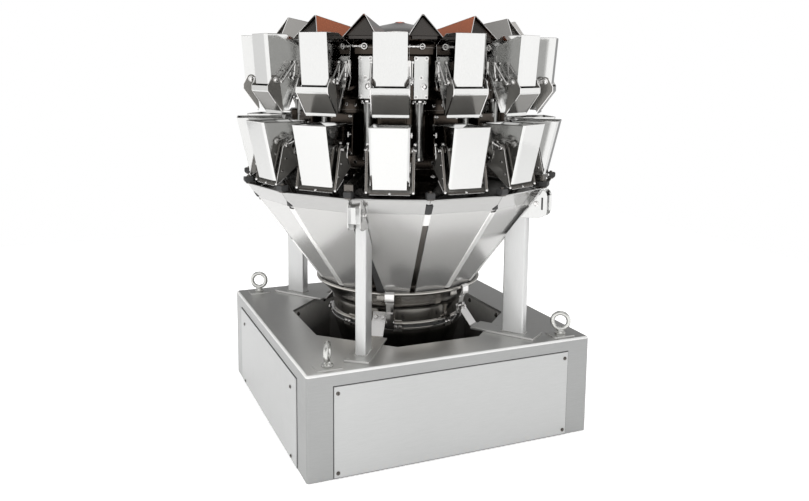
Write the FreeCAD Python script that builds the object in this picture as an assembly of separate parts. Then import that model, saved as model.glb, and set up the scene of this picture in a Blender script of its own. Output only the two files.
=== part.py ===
import FreeCAD, Part
import os
import math

os.makedirs("parts", exist_ok=True)
V = FreeCAD.Vector

# ---------------------------------------------------------------- dimensions
# The frame: floor level z = 0, machine axis on the Z axis, front face at -Y.
SIDE = 1024.0            # square base, outside of its walls
BASE_H = 346.0           # height of the base's top face
# Everything that stands on the base is laid out with the deck at DECK and is
# raised by LIFT when it is saved, so that the base can be made taller or lower.
DECK = 316.0
LIFT = BASE_H - DECK
WALL = 6.0               # sheet walls of the base
EDGE_R = 9.0             # bend radius of the base's outer edges
COL = 46.0               # corner column section
TOP_T = 8.0              # top plate with its folded rim
WELL_A = 370.0           # apothem of the octagonal opening
LINER_T = 4.0            # lining plates of the well
PANEL_T = 4.0            # removable panels stand this proud
FRONT_PANEL_W = 850.0
SIDE_PANEL_W = 810.0
PANEL_Z0, PANEL_Z1 = 4.0, 302.0

EYE_X, EYE_Y = 428.0, 458.0      # lifting eyes
EYE_R, EYE_BAR = 28.0, 7.5       # ring mean radius and bar radius
EYE_COLLAR_R, EYE_COLLAR_H = 19.0, 15.0

POST_AZ = 36.0           # posts stand this far either side of front and back
POST_R = 480.0           # radius of the post's centre line
POST_L, POST_W, POST_WALL = 80.0, 35.0, 4.0

N = 14                   # weighing heads
PITCH = 360.0 / N
HALF = PITCH / 2.0

# collection chute: fourteen flat panels, from the rim down to the funnel
CH_R0, CH_Z0 = 287.0, 470.0      # lower edge (apothem)
CH_R1, CH_Z1 = 520.0, 790.0      # crease under the rim band
RIM_R, RIM_Z = 553.0, 838.0      # upper edge of the rim band
CH_T = 3.0
CH_GAP = 20.0            # clear joint between neighbouring panels

# lower funnel
FU_R0, FU_Z0 = 301.0, 465.0      # rim
FU_R1, FU_Z1 = 246.0, 408.0      # foot of the cone
FU_R2, FU_Z2 = 238.0, 300.0      # neck
FU_R3, FU_Z3 = 165.0, 60.0       # outlet
FU_T = 3.0
CLAMP_Z = 338.0

# pool hoppers
PH_R, PH_LEAN = 568.0, 12.0      # top radius of front plate, lean over its height
PH_Z1, PH_Z0 = 1345.0, 1184.0
PH_W = 52.0                      # half width
# weigh hoppers
WH_R, WH_Z1 = 588.0, 1061.0
WH_RB, WH_Z0 = 545.0, 868.0
WH_WT, WH_WB = 63.0, 59.0        # half widths at top and bottom
SHEET = 2.5

BODY_R = 330.0           # lower body drum
HEAD_R = 392.0           # drive housing behind the pool hoppers
CELL_R0, CELL_R1 = 338.9, 396.0  # load cell boxes: inner and outer face
CELL_Z0, CELL_Z1 = 952.0, 1092.0
CELL_W = 44.0            # half width


# ------------------------------------------------------------------- helpers
def axes(az):
    a = math.radians(az)
    return V(math.sin(a), -math.cos(a), 0), V(math.cos(a), math.sin(a), 0)


def P(az, r, t, z):
    er, et = axes(az)
    return er * r + et * t + V(0, 0, z)


def face(points):
    return Part.Face(Part.makePolygon(list(points) + [points[0]]))


def plate_rz(az, poly, t0, t1):
    """Prism: a polygon in the radius-height plane, drawn out tangentially."""
    er, et = axes(az)
    f = face([P(az, r, t0, z) for r, z in poly])
    return f.extrude(et * (t1 - t0))


def slab(points, normal, thick):
    """Flat plate: a plane polygon given its thickness along normal."""
    n = V(normal)
    n.normalize()
    return face(points).extrude(n * thick)


def solid_of(faces):
    s = Part.makeShell([face(f) for f in faces])
    so = Part.makeSolid(s)
    if so.Volume < 0:
        so.reverse()
    return so


def wedge(bottom, top):
    """Solid between two polygons of like count with plane sides."""
    n = len(bottom)
    faces = [bottom, top]
    for i in range(n):
        j = (i + 1) % n
        faces.append([bottom[i], bottom[j], top[j], top[i]])
    return solid_of(faces)


def rod(p, q, r):
    d = q - p
    return Part.makeCylinder(r, d.Length, p, d)


def box(x0, y0, z0, x1, y1, z1):
    return Part.makeBox(x1 - x0, y1 - y0, z1 - z0, V(x0, y0, z0))


def spin(shape, az):
    s = shape.copy()
    s.rotate(V(0, 0, 0), V(0, 0, 1), az)
    return s


def save(name, solids, lift=LIFT):
    out = []
    for s in solids:
        out.extend(s.Solids)
    if lift:
        for s in out:
            s.translate(V(0, 0, lift))
    shape = out[0] if len(out) == 1 else Part.makeCompound(out)
    shape.exportStep("parts/" + name + ".step")


def fuse(shapes):
    s = shapes[0].fuse(shapes[1:])
    return s.removeSplitter()


heads = [i * PITCH for i in range(N)]
mids = [i * PITCH + HALF for i in range(N)]
HS = SIDE / 2.0

# ---------------------------------------------------------------------- base
# top plate: folded at its outer edges, open over the octagonal well
top = box(-HS, -HS, BASE_H - TOP_T, HS, HS, BASE_H)
up = [e for e in top.Edges
      if abs(e.BoundBox.ZMin - BASE_H) < 1e-6 and abs(e.BoundBox.ZMax - BASE_H) < 1e-6]
vert = [e for e in top.Edges if e.BoundBox.ZLength > TOP_T - 1e-6]
top = top.makeFillet(EDGE_R, vert)
up = [e for e in top.Edges
      if abs(e.BoundBox.ZMin - BASE_H) < 1e-6 and abs(e.BoundBox.ZMax - BASE_H) < 1e-6]
top = top.makeFillet(TOP_T - 1.0, up)
rc = WELL_A / math.cos(math.radians(22.5))
octo = [V(rc * math.cos(math.radians(22.5 + 45 * k)),
          rc * math.sin(math.radians(22.5 + 45 * k)), BASE_H - 50) for k in range(8)]
top = top.cut(face(octo).extrude(V(0, 0, 100)))
save("base_top_plate", [top], 0.0)

# corner columns, outer edge rounded
cols = []
ZC1 = BASE_H - TOP_T
for sx in (-1, 1):
    for sy in (-1, 1):
        b = box(0, 0, 0, COL, COL, ZC1)
        e = [e for e in b.Edges if e.BoundBox.ZLength > 10
             and e.BoundBox.XMax < 1e-6 and e.BoundBox.YMax < 1e-6]
        b = b.makeFillet(EDGE_R, e)
        # b has its rounded edge at its own low x, low y corner
        if sx > 0 and sy < 0:
            b.rotate(V(0, 0, 0), V(0, 0, 1), 90)
        elif sx > 0 and sy > 0:
            b.rotate(V(0, 0, 0), V(0, 0, 1), 180)
        elif sx < 0 and sy > 0:
            b.rotate(V(0, 0, 0), V(0, 0, 1), 270)
        b.translate(V(sx * HS, sy * HS, 0))
        cols.append(b)
save("base_corner_columns", cols, 0.0)

# the four outer walls between the columns
wl = HS - COL
walls = [box(-wl, -HS, 0, wl, -HS + WALL, ZC1),
         box(-wl, HS - WALL, 0, wl, HS, ZC1),
         box(-HS, -wl, 0, -HS + WALL, wl, ZC1),
         box(HS - WALL, -wl, 0, HS, wl, ZC1)]
save("base_outer_walls", walls, 0.0)

# lining of the well
liners = []
for k in range(8):
    a = 45.0 * k
    h = WELL_A * math.tan(math.radians(22.5)) - 1.0
    liners.append(plate_rz(a, [(WELL_A, 14), (WELL_A + LINER_T, 14),
                               (WELL_A + LINER_T, ZC1 - 0.0), (WELL_A, ZC1 - 0.0)], -h, h))
save("base_well_lining", liners, 0.0)

# floor pan with the round outlet hole
pan = box(-HS + WALL, -HS + WALL, 6, HS - WALL, HS - WALL, 12)
for sx in (-1, 1):
    for sy in (-1, 1):
        x0, x1 = sorted((sx * (HS - COL - 0.0), sx * HS))
        y0, y1 = sorted((sy * (HS - COL - 0.0), sy * HS))
        pan = pan.cut(box(x0, y0, 0, x1, y1, 20))
pan = pan.cut(Part.makeCylinder(190, 40, V(0, 0, -10)))
save("base_floor_pan", [pan], 0.0)

# removable panels
pf = FRONT_PANEL_W / 2.0
ps = SIDE_PANEL_W / 2.0
save("front_panel", [box(-pf, -HS - PANEL_T, PANEL_Z0, pf, -HS, PANEL_Z1)], 0.0)
save("back_panel", [box(-pf, HS, PANEL_Z0, pf, HS + PANEL_T, PANEL_Z1)], 0.0)
save("side_panels", [box(-HS - PANEL_T, -ps, PANEL_Z0, -HS, ps, PANEL_Z1),
                     box(HS, -ps, PANEL_Z0, HS + PANEL_T, ps, PANEL_Z1)], 0.0)

# lifting eyes on their pads
PAD_T = 3.0
eyes = []
for sx, sy, turn in ((-1, -1, 62.0), (1, -1, -34.0), (-1, 1, -24.0), (1, 1, -62.0)):
    x, y = sx * EYE_X, sy * EYE_Y
    z0 = DECK + PAD_T
    ring = Part.makeTorus(EYE_R, EYE_BAR, V(0, 0, 0), V(0, 1, 0))
    ring.translate(V(0, 0, z0 + EYE_COLLAR_H + EYE_R + EYE_BAR - 4.0))
    collar = Part.makeCone(EYE_COLLAR_R, EYE_COLLAR_R - 6.0, EYE_COLLAR_H, V(0, 0, z0))
    e = collar.fuse(ring)
    e.rotate(V(0, 0, 0), V(0, 0, 1), turn)
    e.translate(V(x, y, 0))
    pad = box(x - 42, y - 32, DECK, x + 42, y + 32, DECK + PAD_T)
    eyes.append(e.fuse(pad))
save("lifting_eyes", eyes)

# --------------------------------------------------------------- posts
post_az = [POST_AZ, 180 - POST_AZ, 180 + POST_AZ, 360 - POST_AZ]
slope = (CH_R1 - CH_R0) / (CH_Z1 - CH_Z0)


def chute_r(z):
    return CH_R0 + (z - CH_Z0) * slope


FOOT_R0, FOOT_R1, FOOT_W, FOOT_T = 330.0, 568.0, 42.0, 8.0
feet, posts, brackets, straps = [], [], [], []
for az in post_az:
    # foot plate, radial; its inner end stands out over the well
    er, et = axes(az)
    pts = [P(az, FOOT_R0, -FOOT_W, DECK), P(az, FOOT_R1, -FOOT_W, DECK),
           P(az, FOOT_R1, FOOT_W, DECK), P(az, FOOT_R0, FOOT_W, DECK)]
    feet.append(face(pts).extrude(V(0, 0, FOOT_T)))
    # post: rectangular tube, its head cut to the slope of the chute
    r0, r1 = POST_R - POST_L / 2, POST_R + POST_L / 2
    zb = DECK + FOOT_T
    # the panel beside it lies this far off the post's own azimuth
    skew = math.cos(math.radians(POST_AZ - PITCH))
    z_in = CH_Z0 + (r0 * skew - 6.0 - CH_R0) / slope
    z_out = CH_Z0 + (r1 * skew - 6.0 - CH_R0) / slope
    outer = plate_rz(az, [(r0, zb), (r1, zb), (r1, z_out), (r0, z_in)],
                     -POST_W / 2, POST_W / 2)
    w = POST_WALL
    inner = plate_rz(az, [(r0 + w, zb), (r1 - w, zb), (r1 - w, z_out + 50), (r0 + w, z_out + 50)],
                     -POST_W / 2 + w, POST_W / 2 - w)
    posts.append(outer.cut(inner))
    # channel bracket from the post's head out to the rim
    zt = RIM_Z + 2.0
    for st in (-1, 1):
        t0, t1 = sorted((st * 18.0, st * 21.0))
        brackets.append(plate_rz(az, [(r1 - 20, 736), (r1 + 40, 740), (r1 + 58, 744),
                                      (r1 + 70, 753), (r1 + 74, 766), (r1 + 74, 818),
                                      (r1 + 70, 830), (r1 + 62, 837), (r1 + 52, 837),
                                      (r1 + 4, 768), (r1 - 20, 743)], t0, t1))
    brackets.append(plate_rz(az, [(r1 + 71, 766), (r1 + 74, 766), (r1 + 74, 818), (r1 + 71, 818)],
                             -17.6, 17.6))
    # bent strap from the foot plate's inner end up to the funnel
    strap = fuse([plate_rz(az, [(329.6, DECK), (329.6, DECK + 6), (315, DECK + 9),
                                (315, DECK + 1)], -24, 24),
                  plate_rz(az, [(315, DECK + 1), (315, DECK + 9), (262, 392), (256, 387)],
                           -24, 24)])
    straps.append(strap)
save("post_foot_plates", feet)
save("support_posts", posts)
save("post_brackets", brackets)
save("funnel_straps", straps)

# ------------------------------------------------------------- lower funnel
SEG = 28
segs = []
prof = [(FU_R0, FU_Z0), (FU_R1, FU_Z1), (FU_R2, FU_Z2), (FU_R3, FU_Z3)]
for i in range(SEG):
    a = 360.0 / SEG * i
    tn = math.tan(math.radians(180.0 / SEG))
    for (ra, za), (rb, zb) in zip(prof, prof[1:]):
        za2, zb2 = za - 1.2, zb + 1.2
        ha, hb = ra * tn - 0.8, rb * tn - 0.8
        pts = [P(a, ra, -ha, za2), P(a, ra, ha, za2), P(a, rb, hb, zb2), P(a, rb, -hb, zb2)]
        er, et = axes(a)
        d = (P(a, rb, 0, zb2) - P(a, ra, 0, za2))
        nrm = et.cross(d)
        if nrm.dot(er) > 0:
            nrm = nrm * -1.0
        segs.append(slab(pts, nrm, FU_T))
save("lower_funnel", segs)

# two clamp rings round the funnel's neck
rings = []
for z in (CLAMP_Z - 13, CLAMP_Z + 3):
    ro = FU_R2 + 12.0
    ring = Part.makeCylinder(ro, 7.0, V(0, 0, z)).cut(
        Part.makeCylinder(FU_R2 + 6.0, 20.0, V(0, 0, z - 5)))
    rings.append(ring)
save("funnel_clamp_rings", rings)

# toggle latches that hold the funnel to the chute
latches = []
for az in (-28.0, 0.0 + 152.0, 28.0 + 180.0 - 0.0, 28.0):
    latches.append(plate_rz(az, [(307, 440), (314, 440), (314, 474), (307, 474)], -16, 16))
    latches.append(plate_rz(az, [(262, 330), (270, 330), (300, 439), (292, 439)], -13, 13))
save("funnel_latches", latches)

# ------------------------------------------------------------------- chute
panels, strips, rims, blocks = [], [], [], []
tn = math.tan(math.radians(HALF))
for az in heads:
    er, et = axes(az)
    d1 = V(0, 0, 1) * (CH_Z1 - CH_Z0) + er * (CH_R1 - CH_R0)
    nrm = et.cross(d1)
    if nrm.dot(er) > 0:
        nrm = nrm * -1.0
    g = CH_GAP / 2.0
    zt = CH_Z1 - 0.3
    rt = chute_r(zt)
    pts = [P(az, CH_R0, -(CH_R0 * tn - g), CH_Z0), P(az, CH_R0, CH_R0 * tn - g, CH_Z0),
           P(az, rt, rt * tn - g, zt), P(az, rt, -(rt * tn - g), zt)]
    panels.append(slab(pts, nrm, CH_T))
    d2 = V(0, 0, 1) * (RIM_Z - CH_Z1) + er * (RIM_R - CH_R1)
    n2 = et.cross(d2)
    if n2.dot(er) > 0:
        n2 = n2 * -1.0
    g2 = 3.0
    pts = [P(az, CH_R1, -(CH_R1 * tn - g2), CH_Z1), P(az, CH_R1, CH_R1 * tn - g2, CH_Z1),
           P(az, RIM_R, RIM_R * tn - g2, RIM_Z), P(az, RIM_R, -(RIM_R * tn - g2), RIM_Z)]
    rims.append(slab(pts, n2, CH_T))
for az in mids:
    er, et = axes(az)
    # joint strip behind the gap between two panels
    k = 1.0 / math.cos(math.radians(HALF))
    za, zb = CH_Z0 + 4, CH_Z1 - 6
    ra, rb = chute_r(za) * k - 11.0, chute_r(zb) * k - 11.0
    d = P(az, rb, 0, zb) - P(az, ra, 0, za)
    n3 = et.cross(d)
    if n3.dot(er) > 0:
        n3 = n3 * -1.0
    pts = [P(az, ra, -17, za), P(az, ra, 17, za), P(az, rb, 20, zb), P(az, rb, -20, zb)]
    strips.append(slab(pts, n3, 2.0))
    blocks.append(plate_rz(az, [(548, 842), (576, 842), (580, 850), (580, 862), (548, 862)], -13, 13))
save("chute_panels", panels)
save("chute_joint_strips", strips)
save("chute_rim_band", rims)
save("rim_rest_blocks", blocks)

# --------------------------------------------------------------------- body
arms = []
for az in (HALF * 3, 180 - HALF * 3, 180 + HALF * 3, 360 - HALF * 3):
    arms.append(plate_rz(az, [(BODY_R + 2, 866), (566, 862.3), (566, 884), (BODY_R + 2, 930)], -15, 15))
save("body_support_arms", arms)


def prism(n, apothem, z0, z1, start=0.0):
    """Upright prism of n flats; the first flat faces azimuth start."""
    rr = apothem / math.cos(math.pi / n)
    pts = []
    for i in range(n):
        er, et = axes(start + 360.0 / n * (i + 0.5))
        pts.append(er * rr + V(0, 0, z0))
    return face(pts).extrude(V(0, 0, z1 - z0))


low = prism(14, BODY_R, 860, 1136, HALF)
hub = Part.makeCone(170, 300, 90, V(0, 0, 770))
# load cell boxes on the flats behind the weigh hoppers
cells = [plate_rz(az, [(CELL_R0, CELL_Z0), (CELL_R1, CELL_Z0), (CELL_R1, CELL_Z1), (CELL_R0, CELL_Z1)],
                  -CELL_W, CELL_W) for az in heads]
save("body_drum", [low.fuse(hub).removeSplitter()] + cells)
save("feeder_housing", [Part.makeCylinder(408, 44, V(0, 0, 1280.4)).fuse(
    Part.makeCylinder(150, 36, V(0, 0, 1323.7)))])

covers, tubes = [], []
for az in mids:
    covers.append(plate_rz(az, [(HEAD_R + 0.2, 1140), (HEAD_R + 10, 1140), (HEAD_R + 10, 1276),
                                (HEAD_R + 0.2, 1276)], -24, 24))
    tubes.append(Part.makeCylinder(14.5, 200, P(az, 372, 0, 936)))
save("drive_housing", [prism(14, HEAD_R, 1136.4, 1280, HALF)] + covers)
save("hanger_tubes", tubes)

# ------------------------------------------------------------ pool hoppers
PH_RB = PH_R - PH_LEAN                        # front plate radius at its foot
ph_front = [(PH_R, PH_Z1), (PH_RB, PH_Z0), (PH_RB - SHEET, PH_Z0), (PH_R - SHEET, PH_Z1)]
PH_SIDE = [(PH_R - SHEET - 0.4, PH_Z1), (PH_RB - SHEET - 1.5, PH_Z0 - 16), (500, 1098),
           (486, 1098), (426, 1240), (422, 1312), (492, PH_Z1)]
pool = []
for az in heads:
    pool.append(plate_rz(az, ph_front, -PH_W, PH_W))
    for st in (-1, 1):
        t0, t1 = sorted((st * (PH_W - SHEET), st * PH_W))
        pool.append(plate_rz(az, PH_SIDE, t0, t1))
    pool.append(plate_rz(az, [(418.9, 1312), (421.5, 1312), (425.5, 1240.6), (422.9, 1240.6)],
                         -PH_W, PH_W))
    pool.append(plate_rz(az, [(425.5, 1240.2), (422.9, 1240.2), (482.8, 1098), (485.4, 1098)],
                         -PH_W, PH_W))
save("pool_hoppers", pool)

# ------------------------------------------------------------ weigh hoppers
weigh = []
WH_BT = (425.0, WH_Z1)         # back plate top
WH_BB = (455.0, 937.0)         # back plate foot
wsl = (WH_WT - WH_WB) / (WH_Z1 - WH_Z0)


def wt(z):
    return WH_WB + (z - WH_Z0) * wsl


for az in heads:
    er, et = axes(az)
    pts = [P(az, WH_R, -wt(WH_Z1), WH_Z1), P(az, WH_R, wt(WH_Z1), WH_Z1),
           P(az, WH_RB, wt(WH_Z0), WH_Z0), P(az, WH_RB, -wt(WH_Z0), WH_Z0)]
    d = P(az, WH_RB, 0, WH_Z0) - P(az, WH_R, 0, WH_Z1)
    n = et.cross(d)
    if n.dot(er) > 0:
        n = n * -1.0
    weigh.append(slab(pts, n, SHEET))
    fi = SHEET + 1.0
    for st in (-1, 1):
        prof = [(WH_R - fi, WH_Z1), (WH_RB - fi, WH_Z0 + 2), (WH_BB[0] + 0.5, WH_BB[1]),
                (WH_BT[0] + 0.5, WH_Z1)]
        pts = [P(az, r, st * wt(z), z) for r, z in prof]
        weigh.append(slab(pts, et * -st, SHEET))
    weigh.append(plate_rz(az, [(WH_BT[0], WH_Z1), (WH_BB[0], WH_BB[1]), (WH_BB[0] - SHEET, WH_BB[1]),
                               (WH_BT[0] - SHEET, WH_Z1)], -WH_WB, WH_WB))
save("weigh_hoppers", weigh)

# --------------------------------------------------- gates and their pins
PG_PIN = (535.0, 1197.0)       # pool gate pivot, radius and height
WG_PIN = (505.0, 985.0)        # weigh gate pivot
PG_ARM = PH_W + 5.0            # inside face of a pool gate's side arm
WG_ARM = WH_WT + 5.5
PIN_R = 5.0
pins = []
for az in heads:
    for st in (-1, 1):
        pins.append(rod(P(az, PG_PIN[0], st * (PH_W + 0.2), PG_PIN[1]),
                        P(az, PG_PIN[0], st * (PG_ARM - 0.2), PG_PIN[1]), PIN_R))
        wz = wt(WG_PIN[1])
        pins.append(rod(P(az, WG_PIN[0], st * (wz + 0.3), WG_PIN[1]),
                        P(az, WG_PIN[0], st * (WG_ARM - 0.2), WG_PIN[1]), PIN_R))
save("gate_pins", pins)

for i, az in enumerate(heads):
    n = "%02d" % (i + 1)
    # pool gate: top band, slanted plate, foot lip, two side arms with knobs
    w = PG_ARM + 3.0
    g = [plate_rz(az, [(561, 1162), (564, 1162), (564, 1178), (561, 1178)], -w, w),
         plate_rz(az, [(561, 1162), (564, 1162), (513, 1091), (510, 1093)], -w, w),
         plate_rz(az, [(510, 1086), (513, 1086), (513, 1101), (510, 1101)], -w + 6, w - 6)]
    for st in (-1, 1):
        t0, t1 = sorted((st * PG_ARM, st * (PG_ARM + 3.0)))
        g.append(plate_rz(az, [(522, 1204), (530, 1211), (541, 1211), (549, 1204), (564, 1178),
                               (564, 1162), (513, 1091), (508, 1095)], t0, t1))
        g.append(rod(P(az, PG_PIN[0], st * (PG_ARM + 2.5), PG_PIN[1]),
                     P(az, PG_PIN[0], st * (PG_ARM + 13.0), PG_PIN[1]), 8.0))
    save("pool_gate_" + n, [fuse(g)])
    # weigh gate: sloping plate under the hopper, foot lip, two side arms
    w = WG_ARM + 3.0
    g = [plate_rz(az, [(541, 858), (543, 855), (451, 925), (449, 928)][::-1], -w, w),
         plate_rz(az, [(541, 858), (545.5, 850), (548, 851), (543.5, 860)], -w + 8, w - 8)]
    for st in (-1, 1):
        t0, t1 = sorted((st * WG_ARM, st * (WG_ARM + 3.0)))
        g.append(plate_rz(az, [(492, 990), (500, 998), (510, 998), (518, 990), (546, 858),
                               (543, 855), (451, 925), (449, 928)], t0, t1))
        g.append(rod(P(az, WG_PIN[0], st * (WG_ARM + 2.5), WG_PIN[1]),
                     P(az, WG_PIN[0], st * (WG_ARM + 13.0), WG_PIN[1]), 7.0))
    save("weigh_gate_" + n, [fuse(g)])

# ------------------------------------------------------------- feeder pans
FP_R0, FP_R1 = 186.0, 470.0          # inner and outer end of a pan
FP_Z0, FP_Z1 = 1346.0, 1332.0        # floor height at either end
RIDGE_R0, RIDGE_R1 = 196.0, 417.0    # ridge line between two pans
RIDGE_Z0, RIDGE_Z1 = 1380.0, 1408.0
floors = []
for az in heads:
    er, et = axes(az)
    h0, h1 = FP_R0 * tn - 12.0, 46.0
    z0, z1 = FP_Z0, FP_Z1
    bot = [P(az, FP_R0, -h0, z0), P(az, FP_R0, h0, z0), P(az, FP_R1, h1, z1), P(az, FP_R1, -h1, z1)]
    d = bot[2] - bot[1]
    nn = (bot[1] - bot[0]).cross(bot[3] - bot[0])
    if nn.z > 0:
        nn = nn * -1.0
    floors.append(slab(bot, nn, 3.0))
save("feeder_pan_floors", floors)

sides = []
for az in mids:
    # two leaning walls that meet in a ridge; a thin gap lies between them
    for st in (-1, 1):
        az_h = az + st * HALF
        # foot line along the pan floor, ridge line near the mid plane
        A = P(az, FP_R0 + 12, st * 14.0, FP_Z0 + 1.5)
        er_h, et_h = axes(az_h)
        h1 = 47.0
        B = er_h * 462.0 + et_h * (-st * h1) + V(0, 0, FP_Z1 + 1.0)
        C = P(az, RIDGE_R1, st * 3.4, RIDGE_Z1)
        D = P(az, RIDGE_R0, st * 3.4, RIDGE_Z0)
        # keep the four corners in one plane
        nrm = (B - A).cross(C - A)
        nrm.normalize()
        D.z = A.z - (nrm.x * (D.x - A.x) + nrm.y * (D.y - A.y)) / nrm.z
        out = nrm
        er, et = axes(az)
        if out.dot(et * st) > 0:
            out = out * -1.0
        sides.append(slab([A, B, C, D], out, 2.0))
save("feeder_pan_sides", sides)

save("dispersion_cone", [Part.makeCone(182, 8, 44, V(0, 0, 1360))])
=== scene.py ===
import bpy
import bmesh
import math
import random
from mathutils import Matrix, Vector

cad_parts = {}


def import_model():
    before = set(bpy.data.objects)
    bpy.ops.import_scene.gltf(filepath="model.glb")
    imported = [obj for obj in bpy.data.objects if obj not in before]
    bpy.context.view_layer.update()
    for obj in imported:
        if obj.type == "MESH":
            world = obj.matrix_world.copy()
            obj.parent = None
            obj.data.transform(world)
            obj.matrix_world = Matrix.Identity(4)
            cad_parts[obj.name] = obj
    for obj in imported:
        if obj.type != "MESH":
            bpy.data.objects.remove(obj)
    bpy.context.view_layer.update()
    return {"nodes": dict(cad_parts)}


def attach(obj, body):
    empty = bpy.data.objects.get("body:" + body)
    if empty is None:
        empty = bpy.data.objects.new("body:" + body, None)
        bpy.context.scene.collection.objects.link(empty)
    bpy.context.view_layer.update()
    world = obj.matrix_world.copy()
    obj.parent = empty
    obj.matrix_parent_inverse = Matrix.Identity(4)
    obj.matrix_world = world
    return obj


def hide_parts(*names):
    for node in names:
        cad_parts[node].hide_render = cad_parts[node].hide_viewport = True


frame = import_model()
NODES = frame["nodes"]
sc = bpy.context.scene

N = 14
PITCH = 360.0 / N
HALF = PITCH / 2.0
TAN = math.tan(math.radians(HALF))
HEADS = [i * PITCH for i in range(N)]
MIDS = [i * PITCH + HALF for i in range(N)]
POSTS = [36.0, 144.0, 216.0, 324.0]
EYE_R_, EYE_B_ = 28.0, 7.5
FT_IN, FT_OUT = 330.0, 568.0
# how each chute joint is covered, by mid-angle from 12.86 on: 0 open, 1 strip, 2 open slot with a bridge, 3 split strip
JOINT_KIND = [1, 1, 1, 3, 1, 1, 1, 1, 1, 1, 3, 1, 0, 2]
MM = 0.001
DECK, BASE_H, HS = 316.0, 346.0, 512.0
LIFT = BASE_H - DECK       # pieces that stand on the base are laid out with its deck at 316 mm


# =====================================================================
# geometry helpers. Local head frame: x = radial out, y = tangential, z = up
# =====================================================================
def HM(az):
    a = math.radians(az)
    return Matrix(((math.sin(a), math.cos(a), 0, 0),
                   (-math.cos(a), math.sin(a), 0, 0),
                   (0, 0, 1, 0), (0, 0, 0, 1)))


class Geo:
    def __init__(self):
        self.v, self.f, self.m, self.s = [], [], [], []

    def add(self, vs, fs, mat=0, smooth=False):
        b = len(self.v)
        self.v.extend(Vector(p) for p in vs)
        for f in fs:
            self.f.append([b + i for i in f])
            self.m.append(mat)
            self.s.append(smooth)
        return self

    def join(self, g, M=None, mat=None):
        b = len(self.v)
        self.v.extend((M @ p if M is not None else p.copy()) for p in g.v)
        flip = M is not None and M.to_3x3().determinant() < 0
        for f, m, s in zip(g.f, g.m, g.s):
            ff = [b + i for i in f]
            self.f.append(ff[::-1] if flip else ff)
            self.m.append(m if mat is None else mat)
            self.s.append(s)
        return self


def prism(poly, vec, mat=0):
    """Plane polygon drawn out along vec."""
    g = Geo()
    n = len(poly)
    a = [Vector(p) for p in poly]
    vec = Vector(vec)
    nrm = Vector((0, 0, 0))
    for i in range(n):
        nrm += a[i].cross(a[(i + 1) % n])
    if nrm.dot(vec) > 0:
        a = a[::-1]
    b = [p + vec for p in a]
    fs = [list(range(n)), [n + i for i in range(n)][::-1]]
    for i in range(n):
        j = (i + 1) % n
        fs.append([i, n + i, n + j, j])
    return g.add(a + b, fs, mat)


def prz(poly, t0, t1, mat=0):
    """Polygon in the radius-height plane drawn out tangentially."""
    return prism([(r, t0, z) for r, z in poly], (0, t1 - t0, 0), mat)


def boxg(x0, y0, z0, x1, y1, z1, mat=0):
    return prism([(x0, y0, z0), (x1, y0, z0), (x1, y1, z0), (x0, y1, z0)], (0, 0, z1 - z0), mat)


def frame_of(d):
    d = Vector(d).normalized()
    up = Vector((0, 0, 1)) if abs(d.z) < 0.9 else Vector((1, 0, 0))
    x = up.cross(d).normalized()
    return x, d.cross(x), d


def cyl(p, q, r0, r1=None, seg=24, mat=0, caps=True, chamfer=0.0, smooth=True, phase=0.0):
    p, q = Vector(p), Vector(q)
    r1 = r0 if r1 is None else r1
    x, y, d = frame_of(q - p)
    L = (q - p).length
    if chamfer > 0:
        prof = [(0, r0 - chamfer), (chamfer, r0), (L - chamfer, r1), (L, r1 - chamfer)]
    else:
        prof = [(0, r0), (L, r1)]
    vs, fs = [], []
    for h, r in prof:
        for k in range(seg):
            a = 2 * math.pi * k / seg + phase
            vs.append(p + d * h + x * (r * math.cos(a)) + y * (r * math.sin(a)))
    for i in range(len(prof) - 1):
        for k in range(seg):
            k2 = (k + 1) % seg
            fs.append([i * seg + k, i * seg + k2, (i + 1) * seg + k2, (i + 1) * seg + k])
    g = Geo().add(vs, fs, mat, smooth)
    if caps:
        g.add(vs[:seg], [list(range(seg))[::-1]], mat)
        g.add(vs[-seg:], [list(range(seg))], mat)
    return g


def lathe(prof, seg=64, mat=0, smooth=True, closed=False):
    """Profile of (radius, height) turned about the Z axis."""
    vs, fs = [], []
    n = len(prof)
    for k in range(seg):
        a = 2 * math.pi * k / seg
        for r, z in prof:
            vs.append((r * math.cos(a), r * math.sin(a), z))
    m = n if closed else n - 1
    for k in range(seg):
        k2 = (k + 1) % seg
        for i in range(m):
            j = (i + 1) % n
            fs.append([k * n + i, k2 * n + i, k2 * n + j, k * n + j])
    return Geo().add(vs, fs, mat, smooth)


def turned(prof, p, d, seg=24, mat=0):
    """Profile of (radius, distance) turned about the line from p along d."""
    x, y, dd = frame_of(d)
    M = Matrix(((x.x, y.x, dd.x, p[0]), (x.y, y.y, dd.y, p[1]), (x.z, y.z, dd.z, p[2]), (0, 0, 0, 1)))
    return Geo().join(lathe(prof, seg, mat), M)


def torus(c, axis, R, r, seg=48, ring=16, mat=0, a0=0.0, a1=2 * math.pi):
    x, y, d = frame_of(axis)
    c = Vector(c)
    vs, fs = [], []
    full = abs(a1 - a0 - 2 * math.pi) < 1e-6
    ns = seg if full else seg + 1
    for i in range(ns):
        a = a0 + (a1 - a0) * i / seg
        u = x * math.cos(a) + y * math.sin(a)
        for k in range(ring):
            b = 2 * math.pi * k / ring
            vs.append(c + u * (R + r * math.cos(b)) + d * (r * math.sin(b)))
    for i in range(seg):
        i2 = (i + 1) % ns
        for k in range(ring):
            k2 = (k + 1) % ring
            fs.append([i * ring + k, i2 * ring + k, i2 * ring + k2, i * ring + k2])
    return Geo().add(vs, fs, mat, True)


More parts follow.
